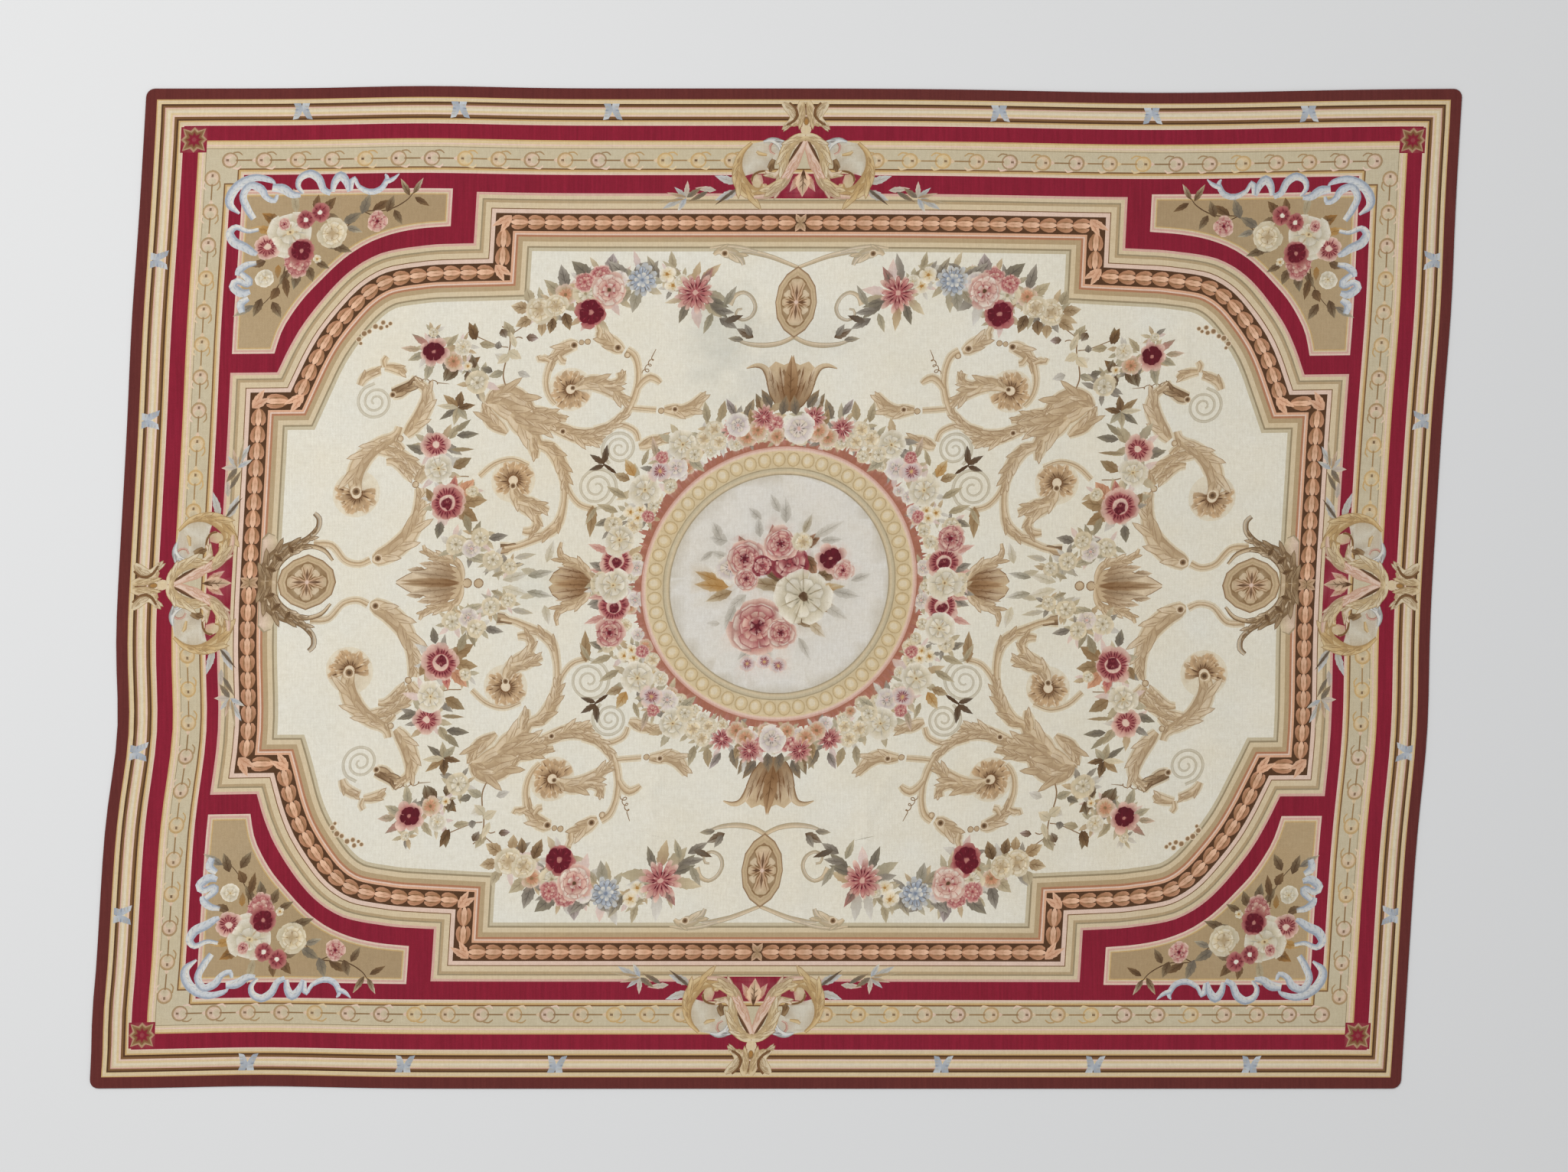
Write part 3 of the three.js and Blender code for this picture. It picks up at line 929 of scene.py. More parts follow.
# Flowers and leaves of the garlands in one quarter
GARLAND_FLOWERS = [
    ("faint", 1000, 700, 14), ("apricot", 940, 618, 28), ("star", 996, 645, 34), ("white", 916, 660, 26),
    ("blossom", 899, 605, 14), ("faint", 871, 558, 34), ("striped", 976, 382, 42), ("white", 966, 317, 42),
    ("cup", 936, 222, 46), ("faint", 905, 107, 30), ("faint", 800, 66, 28), ("lilac", 861, 96, 28),
    ("faint", 838, 126, 28), ("faint", 752, 48, 22), ("faint", 868, 255, 18), ("apricot", 640, 812, 30),
    ("faint", 585, 815, 36), ("dark", 566, 762, 40), ("carnation", 545, 862, 34),
    ("carnation", 590, 848, 30), ("lilac", 497, 852, 30), ("peony", 520, 826, 52), ("blue", 431, 854, 46),
    ("cream_rose", 708, 768, 40), ("cream_rose", 665, 780, 34), ("blossom", 345, 838, 22),
    ("blossom", 362, 870, 24), ("white", 320, 850, 20), ("spiky", 281, 818, 58),
]
GARLAND_LEAVES = [
    (1010, 660, 58, 22, 35, "rose", "moss"), (1020, 640, 52, 24, -25, "moss", "sage"),
    (1000, 620, 60, 26, -75, "moss", "sage"), (1035, 650, 50, 20, 5, "olive", "blush"),
    (960, 660, 50, 20, 130, "olive", "sage"), (965, 620, 44, 22, -110, "slate", "moss"),
    (950, 600, 44, 24, -70, "umber", "moss"), (925, 595, 46, 22, -45, "umber", "moss"),
    (905, 600, 50, 26, 140, "umber", "fawn"), (900, 590, 46, 26, -100, "umber", "moss"),
    (880, 600, 40, 22, 75, "umber", "moss"), (890, 680, 50, 26, 95, "umber", "olive"),
    (880, 680, 52, 26, 65, "umber", "fawn"), (870, 670, 44, 22, -170, "olive", "sage"),
    (921, 490, 44, 26, 100, "umber", "tan"), (921, 487, 56, 22, 40, "fawn", "sand"),
    (921, 487, 64, 20, -35, "slate", "moss"), (921, 487, 50, 22, -80, "olive", "sage"),
    (921, 487, 46, 22, -130, "moss", "sage"), (921, 487, 50, 20, 170, "umber", "tan"),
    (921, 487, 58, 18, 5, "sage", "butter"), (1000, 360, 62, 24, 20, "slate", "moss"),
    (940, 400, 50, 26, 120, "olive", "sage"), (920, 410, 66, 24, 175, "slate", "moss"),
    (925, 420, 56, 20, 140, "olive", "moss"), (935, 370, 66, 12, 178, "olive", "tan"),
    (925, 320, 60, 34, 150, "fawn", "olive"), (905, 240, 66, 40, 130, "husk_shade", "husk"),
    (900, 225, 70, 38, 175, "fawn", "sand"), (905, 205, 66, 40, -150, "fawn", "tan"),
    (925, 250, 50, 26, 100, "berry", "husk"), (950, 170, 48, 26, -80, "slate", "moss"),
    (885, 190, 56, 24, -110, "olive", "moss"), (975, 225, 40, 26, 60, "fawn", "tan"),
    (860, 120, 60, 22, 110, "olive", "moss"), (815, 125, 54, 24, 170, "slate", "grey"),
    (880, 80, 66, 24, -160, "moss", "sage"), (790, 60, 50, 22, -100, "grey", "sage"),
    (770, 62, 66, 20, -30, "sage", "grey"), (740, 72, 60, 18, 170, "grey", "sage"),
    (800, 20, 46, 14, 160, "olive", "sage"), (770, 10, 80, 26, 165, "sage", "ground"),
    (720, 40, 66, 20, -165, "sage", "grey"), (700, 22, 70, 22, 170, "moss", "ground"),
    (650, 60, 60, 24, 105, "sage", "ground"), (760, 590, 40, 22, 200, "grey", "ground"),
    (800, 590, 44, 24, -20, "moss", "sage"), (830, 590, 34, 22, 20, "slate", "moss"),
    (790, 620, 40, 28, 30, "sage", "ground"), (790, 650, 42, 30, -150, "sage", "butter"),
    (786, 640, 42, 28, -40, "sage", "butter"), (780, 690, 50, 30, 60, "olive", "sage"),
    (770, 660, 50, 20, 70, "sage", "butter"), (820, 655, 24, 22, 100, "slate", "grey"),
    (812, 712, 30, 24, -120, "umber", "grey"), (742, 690, 34, 22, 185, "umber", "lilac"),
    (571, 858, 76, 40, 40, "slate", "moss"), (640, 830, 74, 34, 75, "slate", "grey"),
    (650, 810, 66, 34, 40, "olive", "sage"), (520, 870, 60, 40, 95, "slate", "lilac"),
    (470, 860, 76, 30, 40, "slate", "grey"), (455, 880, 50, 22, 150, "slate", "grey"),
    (440, 830, 66, 36, -80, "moss", "grey"), (460, 825, 50, 26, -50, "olive", "grey"),
    (385, 860, 70, 26, 60, "slate", "sage"), (345, 880, 56, 22, 80, "olive", "sage"),
    (320, 860, 70, 20, 40, "olive", "sage"), (350, 840, 66, 24, 200, "moss", "sage"),
    (270, 830, 70, 28, 120, "slate", "rose"), (300, 790, 66, 26, -70, "slate", "moss"),
    (250, 800, 66, 24, 200, "slate", "moss"), (240, 790, 70, 26, -140, "slate", "moss"),
    (225, 770, 60, 22, 190, "slate", "grey"), (210, 745, 60, 26, -150, "slate", "grey"),
    (230, 760, 60, 22, -70, "moss", "sage"), (200, 780, 66, 22, 120, "moss", "grey"),
    (195, 735, 56, 20, 160, "slate", "umber"), (735, 790, 44, 30, 70, "olive", "sage"),
    (740, 770, 50, 36, 10, "fawn", "butter"), (730, 745, 50, 34, -30, "fawn", "cream"),
    (700, 735, 40, 28, -90, "fawn", "cream"), (670, 745, 44, 30, -80, "umber", "sand"),
    (640, 760, 56, 34, -110, "umber", "sand"), (610, 790, 60, 30, 190, "fawn", "husk"),
]
# The berries of the small vine on the edge of the field: place and radius
VINE = [
    (1206, 680, 9), (1192, 696, 10), (1178, 702, 8), (1162, 716, 9), (1146, 712, 8), (1141, 727, 8),
    (1121, 724, 7), (1200, 668, 6), (1130, 716, 6),
]


# Dark and light wool of the small faint leaves that fill between the flowers
FILLING = [
    ("moss", "sage"), ("olive", "butter"), ("grey", "ground"), ("tan", "cream"), ("lilac", "blush"),
    ("olive", "sage"), ("slate", "grey"),
]


def filling(table, count):
    """Small faint leaves out from behind each flower of a table."""
    made = []
    for _, x, y, radius in table:
        first = chance.uniform(0, 360)
        for k in range(count):
            turn = first + 360 * (k + chance.uniform(-0.3, 0.3)) / count
            a = math.radians(turn)
            wools = chance.choice(FILLING)
            long = chance.uniform(0.9, 1.4) * max(radius, 24)
            wide = long * chance.uniform(0.34, 0.5)
            bent = turn + chance.uniform(-35, 35)
            foot = x + radius * 0.6 * math.cos(a), y + radius * 0.6 * math.sin(a)
            made += moved(leaf(long, wide, *wools, plain=True), *foot, bent)
    return made


def garlands():
    made = []
    for x, y, radius in VINE:
        made += eye(x, y, radius, "scroll_dark")
    return made + filling(GARLAND_FLOWERS, 7) + leaves(GARLAND_LEAVES) + flowers(GARLAND_FLOWERS)


# The leaves that make up a lily or a tulip: place of the foot, length, width, turn, dark wool, light wool
LILY_LEAVES = [
    (912, 40, 62, 24, 22, "scroll_dark", "scroll_light"),
    (948, 44, 62, 24, 10, "scroll_dark", "scroll_light"),
    (984, 32, 56, 22, 4, "scroll_dark", "scroll_light"),
    (900, 28, 100, 26, 12, "scroll_dark", "scroll_light"),
    (896, 14, 128, 28, 7, "scroll_dark", "scroll_light"), (890, 2, 170, 22, 1, "fan_dark", "scroll"),
]
LILY_CURL = [
    (880, 6, 6), (884, 34, 14), (900, 58, 20), (930, 68, 22), (962, 74, 19), (986, 86, 14), (996, 104, 6),
]
TULIP_CURL = [(524, 14, 8), (540, 40, 22), (572, 58, 26), (602, 68, 20), (616, 90, 13), (612, 116, 6)]
TULIP_LEAVES = [
    (536, 26, 84, 26, 14, "fan_dark", "scroll_light"), (528, 12, 104, 26, 8, "fan_dark", "scroll_light"),
    (524, 2, 104, 20, 1, "fan_dark", "fan"),
]
UPRIGHT_LEAVES = [
    (22, 600, 96, 26, -94, "fan_dark", "scroll"), (40, 520, 84, 26, 74, "scroll_dark", "scroll_light"),
    (14, 500, 112, 26, 80, "fan_dark", "scroll_light"), (0, 506, 130, 40, 89, "fan_dark", "fan"),
    (66, 470, 66, 30, 64, "fan_dark", "moss"),
]


def palmettes():
    """The half above the axis of the leaf that points away from the middle, and of the tulip behind it."""
    lily = [(878, 0), (884, 24), (900, 42), (930, 50), (960, 47), (985, 36), (1012, 31), (1036, 20)]
    lily = np.array([*lily, (1064, 3), (1066, 0)])
    made = [area(lily + (1, 2), "scroll_dark"), area(lily, "scroll", "scroll_light", [(890, 0), (1040, 20)])]
    made += leaves(LILY_LEAVES)
    made += scroll(LILY_CURL)
    tulip = np.array([(520, 0), (528, 26), (548, 46), (578, 54), (604, 46), (628, 30), (640, 8), (630, 0)])
    made += [area(tulip + (1, 2), "fan_dark"), area(tulip, "scroll_dark", "scroll", [(530, 0), (630, 20)])]
    made += leaves(TULIP_LEAVES)
    return made + scroll(TULIP_CURL)


def upright_tulip():
    """The half to the right of the axis of the tulip above the wreath."""
    bowl = [(0, 482), (22, 486), (38, 500), (56, 528), (66, 562), (66, 602), (46, 622), (22, 612), (0, 622)]
    made = [area(np.array(bowl) + (2, -2), "fan_dark")]
    made.append(area(bowl, "scroll_dark", "scroll", [(10, 490), (40, 590)]))
    lip = [(56, 540, 10), (64, 584, 20), (80, 606, 16), (102, 610, 12), (126, 602, 3)]
    made += drawn(lip, "scroll", shade="scroll_dark", light="scroll_light")
    made += leaves(UPRIGHT_LEAVES)
    for x, y, turn in ((30, 530, 74), (48, 556, 78), (14, 520, 70), (28, 570, 82)):
        made += stroke(0, 40, 4, "fan_dark", turn, x, y)
    return made


# The arms round the cartouche: lines of x, y and width, and the wool that each runs out into
CARTOUCHE_ARMS = [
    (
        [(1432, -4, 32), (1427, 40, 32), (1404, 76, 30), (1370, 98, 25), (1330, 112, 20), (1306, 132, 15),
         (1290, 154, 14), (1290, 178, 14), (1304, 192, 10)],
        "grey",
    ),
    (
        [(1412, -4, 30), (1408, 36, 28), (1384, 70, 24), (1345, 92, 18), (1310, 100, 12), (1270, 88, 10),
         (1245, 60, 6)],
        "scroll",
    ),
]


def round_cartouche():
    """The half above the axis of the round cartouche at each end of the field."""
    bracket = np.array([(1444, 0), (1444, 122), (1428, 140), (1408, 132), (1400, 105), (1412, 0)])
    made = [area(bracket, "olive")]
    made.append(area(bracket - (3, 4), "blush", "cream", [(1444, 60), (1405, 60)]))
    for line, far in CARTOUCHE_ARMS:
        made += scroll(line, "tan", far, "umber", "scroll_light")
    for turn in (20, 40, 62):
        a = math.radians(turn)
        made += moved(leaf(34, 14, "umber", "fawn"), 1314 + 92 * math.cos(a), 92 * math.sin(a), turn)
    return made


# A rosette's rings, as shares of its size, and their wool
ROSETTE_RINGS = [
    (1, "scroll_dark"), (0.95, "scroll"), (0.86, "sand"), (0.8, "scroll"), (0.74, "scroll_dark"),
    (0.71, "tan"),
]


def rosette(rx, ry):
    """Four cream petals round a dark cross, in a tan ring that is pointed at its ends."""
    made = []
    for grow, near in ROSETTE_RINGS:
        x, y = rx * grow, ry * grow
        ring = [(0, y), (0.5 * x, 0.78 * y), (0.85 * x, 0.45 * y), (0.97 * x, 0)]
        made.append(area(all_round(ring), near))
    long = (rx + ry) * 0.27
    for turn in (45, 135, 225, 315):
        cream = area(petal(long, 0.62, 1), "scroll", "scroll_light", [(0, 0), (long, 0)])
        made += moved([cream], turn=turn)
    for turn in (0, 90, 180, 270):
        long = (ry if turn % 180 else rx) * 0.68
        part = [
            area(petal(long + 4, 0.66, 1), "fawn"),
            area(petal(long, 0.6, 1), "husk_light", "cream", [(0, 0), (long, 0)]),
            area(wedge(2, long * 0.75, 8), "bark"),
        ]
        for side in (-17, 17):
            part += stroke(4, long * 0.9, 4, "brown", side)
        made += moved(part, turn=turn)
    for turn in (36, 54, 126, 144, 216, 234, 306, 324):
        made += stroke(4, (rx + ry) * 0.2, 5, "brown", turn)
    made.append(area(oval(0, 0, 6, count=8), "blush"))
    return made


# The arms round the upright oval at the middle of each long side: lines of x, y and width
OVAL_ARMS = [
    [(0, 889, 8), (35, 903, 10), (80, 920, 12), (125, 931, 13), (160, 934, 8)],
    [(248, 944, 4), (205, 950, 8), (160, 946, 8), (115, 934, 5)],
    [(236, 925, 8), (222, 936, 18), (202, 932, 30), (178, 926, 24), (160, 914, 14), (152, 896, 9)],
    [(0, 692, 10), (35, 675, 12), (80, 668, 13), (125, 672, 10), (160, 684, 4)],
    [(186, 785, 22), (172, 808, 12), (148, 819, 9), (124, 805, 9), (112, 776, 9), (122, 750, 8),
     (146, 740, 7), (165, 752, 6), (160, 770, 5), (148, 772, 4)],
]
OVAL_LEAVES = [
    (112, 690, 56, 24, 28, "umber", "grey"), (118, 694, 40, 20, 60, "slate", "grey"),
    (140, 684, 44, 18, 5, "slate", "sage"),
]


def oval_arms():
    made = []
    for line in OVAL_ARMS:
        made += scroll(line, "scroll", "grey", "moss", "scroll_light")
    return made + eye(206, 929, 11) + leaves(OVAL_LEAVES)


# The clasp at the middle of each side of the border: half of it, x along the side and y out from it
CLASP_BASE = [
    ([(0, -309), (158, -309), (158, -240), (0, -240)], "crimson"),
    ([(6, -149), (14, -152), (30, -177), (47, -212), (40, -224), (26, -207), (6, -177)], "bark"),
    (
        [(62, -192), (66, -160), (85, -145), (108, -148), (150, -157), (177, -186), (184, -222),
         (176, -250), (140, -240), (112, -233), (92, -228), (80, -207)],
        "clasp_pale",
    ),
    ([(110, -262), (116, -243), (140, -240), (146, -256), (134, -282), (116, -284)], "cream"),
]
# Its scrolls: lines of x, y and width, wool, far wool, dark wool, light wool
CLASP_SCROLLS = [
    (
        [(148, -154, 6), (174, -182, 14), (184, -218, 24), (178, -254, 36), (158, -284, 40),
         (130, -295, 32), (110, -286, 22), (108, -268, 14)],
        "gold", "straw", "fawn", "straw",
    ),
    ([(102, -232, 3), (124, -235, 4), (140, -246, 4), (142, -262, 3)], "brown", "brown", "brown", "brown"),
    ([(86, -150, 4), (97, -163, 5), (94, -180, 4), (82, -186, 3)], "rose", "pink", "tan", "blush"),
    ([(104, -188, 5), (126, -184, 9), (134, -178, 4)], "gold", "straw", "tan", "straw"),
    (
        [(116, -151, 4), (94, -146, 13), (72, -154, 20), (60, -170, 22), (58, -192, 15), (60, -208, 4)],
        "mist", "white", "slate", "white",
    ),
    ([(84, -200, 10), (92, -220, 18), (86, -232, 10)], "fawn", "tan", "bark", "tan"),
    (
        [(66, -187, 6), (60, -212, 12), (64, -234, 16), (80, -245, 16), (98, -240, 11), (106, -232, 4)],
        "cream", "blush", "fawn", "pale",
    ),
    (
        [(34, -238, 12), (50, -262, 22), (66, -282, 18), (90, -300, 14), (114, -305, 12), (134, -305, 8)],
        "blush", "pink", "fawn", "cream",
    ),
    (
        [(40, -240, 14), (56, -262, 26), (78, -278, 28), (98, -284, 22), (112, -276, 14)],
        "cream", "gold", "fawn", "straw",
    ),
    (
        [(0, -136, 20), (24, -143, 26), (46, -164, 30), (57, -196, 30), (54, -226, 20), (46, -244, 6)],
        "straw", "gold", "fawn", "pale",
    ),
    (
        [(0, -150, 10), (12, -180, 16), (28, -214, 26), (42, -236, 20), (50, -252, 6)],
        "blush", "cream", "husk_shade", "blush",
    ),
    (
        [(63, -42, 8), (52, -52, 22), (36, -70, 26), (35, -88, 22), (50, -102, 17), (64, -108, 5)],
        "cream", "straw", "fawn", "pale",
    ),
    (
        [(8, -37, 14), (13, -52, 20), (12, -72, 18), (18, -90, 22), (38, -104, 10)],
        "straw", "blush", "fawn", "cream",
    ),
    (
        [(44, -40, 3), (28, -57, 5), (25, -77, 6), (35, -92, 5), (54, -104, 3)],
        "brown", "brown", "bark", "brown",
    ),
]
# Leaf sprays beside it
CLASP_LEAVES = [
    (184, -266, 70, 22, 18, "grey", "mist"), (182, -290, 66, 26, -22, "grey", "mist"),
    (180, -280, 74, 10, -38, "slate", "umber"), (240, -286, 58, 18, 6, "grey", "blush"),
    (262, -290, 60, 14, -28, "slate", "tan"), (322, -306, 46, 16, 92, "grey", "blush"),
    (322, -306, 42, 14, 40, "grey", "mist"), (322, -306, 54, 12, 14, "tan", "blush"),
    (320, -306, 46, 16, 145, "slate", "tan"), (330, -306, 60, 18, -30, "grey", "mist"),
    (322, -308, 46, 16, -60, "blue", "pale"), (325, -310, 80, 8, -8, "tan", "sage"),
]


def clasp():
    half = [area(line, near) for line, near in CLASP_BASE] + leaves(CLASP_LEAVES)
    for row in CLASP_SCROLLS:
        half += scroll(*row, 0.5)
    half += moved(leaf(60, 26, "husk_shade", "blush"), 4, -240, -58)
    made = [area(oval(0, -117, 15, count=12), "straw", "cream", [(0, -117), (14, -117)], True)]
    made += moved(leaf(74, 42, "husk_light", "cream", "umber"), 0, -230, -90)
    for turn in (-105, -97, -83, -75):
        made += stroke(0, 34, 3, "bark", turn, 0, -226)
    made += [area(oval(0, -92, 8, 13, count=10), "fawn"), area(oval(0, -94, 5, 9, count=9), "ochre")]
    made.append(area(box(-1.5, -76, 1.5, -46), "brown"))
    return mirrored(half, SIDE_TO_SIDE) + made


# Flowers and leaves round the medallion in one quarter
WREATH = [
    ("faint", 470, 165, 26), ("lilac", 398, 45, 24), ("cup", 456, 62, 42), ("faint", 500, -8, 26),
    ("blossom", 425, 200, 20), ("blossom", 398, 206, 20), ("blossom", 404, 184, 18),
    ("carnation", 375, 188, 20), ("white", 388, 262, 46), ("lilac", 306, 322, 32), ("violet", 350, 314, 30),
    ("carnation", 346, 352, 20), ("white", 290, 388, 44), ("faint", 256, 360, 24),
    ("cream_rose", 232, 404, 28), ("cream_rose", 205, 430, 26), ("cream_rose", 190, 396, 24),
    ("spiky", 150, 432, 36), ("apricot", 112, 408, 28), ("apricot", 84, 428, 28),
    ("carnation", 36, 444, 26), ("spiky", 70, 464, 36), ("apricot", 30, 410, 24),
]
WREATH_LEAVES = [
    (531, 218, 92, 32, -88, "fawn", "sand"), (520, 214, 60, 14, -60, "olive", "sage"),
    (480, 178, 50, 20, -20, "slate", "sage"), (420, 300, 56, 34, 60, "ochre", "sage"),
    (432, 290, 46, 26, 20, "fawn", "sage"), (440, 240, 60, 22, 30, "olive", "sage"),
    (505, 334, 48, 18, 32, "umber", "slate"), (506, 336, 50, 18, 96, "umber", "slate"),
    (506, 330, 46, 16, -18, "umber", "slate"), (470, 307, 50, 10, 35, "umber", "umber"),
    (360, 350, 66, 20, 75, "olive", "blush"), (270, 350, 60, 26, -140, "moss", "sage"),
    (320, 345, 40, 14, -160, "umber", "grey"), (225, 450, 60, 26, 80, "olive", "sage"),
    (190, 455, 56, 26, 100, "olive", "sand"), (150, 470, 50, 24, 60, "slate", "lilac"),
    (120, 460, 56, 26, 110, "slate", "sand"), (100, 440, 50, 24, 80, "fawn", "sand"),
    (20, 470, 60, 26, 100, "slate", "tan"), (50, 490, 60, 26, 60, "slate", "tan"),
    (480, 90, 60, 22, 20, "rose", "blush"), (470, 30, 60, 20, 10, "rose", "blush"),
    (480, -40, 56, 26, -20, "slate", "grey"), (460, 200, 60, 20, 20, "olive", "sage"),
    (400, 330, 50, 18, 110, "olive", "sage"),
]
# Single flowers round it that aren't mirrored in all four quarters
WREATH_ODD = [
    ("white", -451, 122, 46), ("white", 451, -122, 46), ("rose", 470, 128, 44), ("rose", -466, -136, 44),
    ("white", -461, -4, 48), ("white", 461, 4, 48), ("lilac", 30, 432, 44), ("lilac", -10, -432, 40),
    ("lilac", -140, 442, 34),
]
# The bouquet in the medallion, and its leaves
BOUQUET = [
    ("violet", -82, -222, 22), ("violet", -34, -216, 22), ("violet", 4, -228, 22), ("lilac", -140, 44, 40),
    ("old_rose", -100, 70, 58), ("old_rose", -92, 14, 34), ("deep_rose", -48, 50, 30),
    ("star", 140, 72, 34), ("old_rose", 176, 38, 32), ("deep_rose", 26, 62, 54), ("old_rose", -2, 112, 50),
    ("cream_rose", 60, 118, 30), ("old_rose", -56, -118, 86), ("old_rose", 10, -136, 44),
    ("open", 70, -34, 80),
]
BOUQUET_LEAVES = [
    (-150, 0, 96, 34, 158, "ochre", "sand"), (-140, -8, 100, 34, 176, "ochre", "sand"),
    (-130, -20, 80, 28, -158, "fawn", "sage"), (30, -10, 130, 40, 172, "fawn", "sage"),
    (20, 0, 110, 18, 150, "umber", "tan"), (60, 100, 64, 34, 40, "umber", "husk_shade"),
    (70, 80, 66, 34, -60, "umber", "husk_shade"), (-100, 100, 40, 24, 120, "umber", "rose"),
    (-20, 120, 44, 26, 100, "umber", "rose"), (110, 30, 70, 34, 50, "umber", "olive"),
    (100, 20, 80, 40, 10, "umber", "sand"), (100, -20, 90, 36, 10, "ochre", "sage"),
    (90, -30, 110, 30, -35, "umber", "ochre"), (50, -70, 80, 34, -40, "ochre", "sage"),
    (40, -90, 84, 32, -20, "umber", "sand"), (90, -110, 60, 26, -40, "sand", "ground"),
    (-150, 120, 50, 34, 170, "grey", "ground"), (-170, 130, 50, 26, 120, "grey", "ground"),
    (10, 170, 70, 30, 95, "grey", "ground"), (-10, 200, 60, 24, 120, "grey", "ground"),
    (-60, 180, 50, 24, 140, "grey", "ground"), (60, 140, 60, 24, 70, "olive", "ground"),
    (90, 130, 90, 26, 30, "grey", "ground"), (110, 120, 60, 24, 5, "grey", "ground"),
    (-60, 130, 60, 24, 100, "grey", "ground"), (-90, -30, 70, 30, -140, "grey", "ground"),
    (-120, -60, 80, 28, -110, "grey", "ground"), (130, -60, 80, 30, -30, "grey", "ground"),
    (150, -20, 80, 30, -10, "grey", "ground"), (60, -150, 70, 26, -60, "grey", "ground"),
    (-70, -180, 50, 24, -140, "grey", "ground"), (-160, -110, 40, 18, 180, "grey", "ground"),
    (-30, -170, 60, 24, -80, "grey", "ground"), (200, 10, 60, 24, 20, "grey", "ground"),
    (-140, 70, 60, 22, 160, "grey", "ground"), (-190, 90, 44, 20, -140, "grey", "ground"),
]
# The kinds of small flower that fill the wreath, a kind named more than once coming more often
SMALL_FLOWERS = ["faint", "lilac", "faint", "apricot", "faint", "white", "cream_rose"]
# The ring round the medallion, outside and inside its beads: radius and wool
RING = [(385, "coral"), (383, "pink"), (377, "blush"), (371, "straw"), (367, "ring")]
RING_BEADS = 54
RING_INNER = [(324, "olive"), (321, "sage"), (313, "cream"), (307, "olive"), (303.5, "ground")]
ROUND = 96  # sides of a large oval


def medallion():
    made = [area(oval(0, 0, 402, count=ROUND), "coral")]
    for turn in (44, 136, 224, 316):
        a = math.radians(turn)
        made.append(area(oval(382 * math.cos(a), 382 * math.sin(a), 90, 34, turn + 90), "coral"))
    for k in range(200):
        near = shifted_dye(blend("coral", "rose", chance.uniform(0, 0.7)), 0.06)
        made += stroke(384, chance.uniform(404, 436), 9, near, 1.8 * (k + chance.uniform(-0.4, 0.4)))
    for quarter in FOUR:
        made += mirrored(filling(WREATH, 6), [quarter])
    for k in range(72):
        a = math.radians(5 * (k + chance.uniform(-0.3, 0.3)))
        away = chance.uniform(404, 446)
        kind = chance.choice(SMALL_FLOWERS)
        made += moved(flower(kind, chance.uniform(15, 25)), away * math.cos(a), away * math.sin(a))
    made += mirrored(leaves(WREATH_LEAVES))
    for sx, sy in FOUR:
        made += flowers([(kind, x * sx, y * sy, radius) for kind, x, y, radius in WREATH])
    made += flowers(WREATH_ODD)
    made += [area(oval(0, 0, radius, count=ROUND), near) for radius, near in RING]
    for k in range(RING_BEADS):
        turn = 360 * k / RING_BEADS
        x, y = 347 * math.cos(math.radians(turn)), 347 * math.sin(math.radians(turn))
        made.append(area(oval(x, y, 20.5, 18.5, turn, 12), blend("gold", "olive", 0.5)))
        made.append(area(oval(x, y, 18, 15.5, turn, 12), "straw"))
        made.append(area(oval(x - 2, y + 2, 11, 9, turn, 9), "pale"))
    made += [area(oval(0, 0, radius, count=ROUND), near) for radius, near in RING_INNER]
    return made + leaves(BOUQUET_LEAVES) + flowers(BOUQUET)


# Where the bells and the knots are in one quarter: x, y and turn
BELLS = [(1590 - 92.6 * k, 1189, 0) for k in range(16)]
BELLS += [(1636, 1139 - 93.8 * k, 90) for k in range(11)]
KNOTS = [(538, 1325, 0), (962, 1325, 0), (1398, 1325, 0), (1765, 462, -90), (1765, 912, -90)]


def repeated(motif, places):
    """A motif drawn anew at each place: x, y and turn."""
    return [s for x, y, turn in places for s in moved(motif(), x, y, turn)]


def build_pattern():
    """All areas, and how many of them are the plain grounds and stripes that the rest lies on."""
    plain = border() + mirrored(corner_panel()) + field_frame()
    woven = plain + mirrored(husk_chain())
    woven += mirrored(repeated(bell, BELLS))
    woven += mirrored(repeated(knot, KNOTS))
    woven += mirrored(moved(star_rosette(), 1693, 1247))
    woven += mirrored(corner_bouquet())
    woven += mirrored(field_scrolls())
    woven += mirrored(palmettes())
    woven += mirrored(upright_tulip())
    woven += mirrored(round_cartouche())
    woven += mirrored(moved(rosette(84, 78), 1314, 0), SIDE_TO_SIDE)
    woven += mirrored(oval_arms())
    woven += mirrored(moved(rosette(60, 102), 0, 791), TOP_AND_BOTTOM)
    for quarter in FOUR:
        woven += mirrored(garlands(), [quarter])
    woven += medallion()
    woven += mirrored(moved(clasp(), 0, HALF_WIDTH), TOP_AND_BOTTOM)
    woven += mirrored(moved(clasp(), HALF_LENGTH, 0, -90), SIDE_TO_SIDE)
    return woven, len(plain)


# The cloth as it lies
def bow(edge, place):
    """How far an edge bows outwards, at places along it."""
    bows = [row[1:] for row in EDGE_BOWS if row[0] == edge]
    return sum(out * np.exp(-(((place - at) / reach) ** 2)) for at, out, reach in bows)


def read_off(table, places):
    """A value that a table gives for the distance from the middle."""
    return np.interp(np.abs(places), *zip(*table))


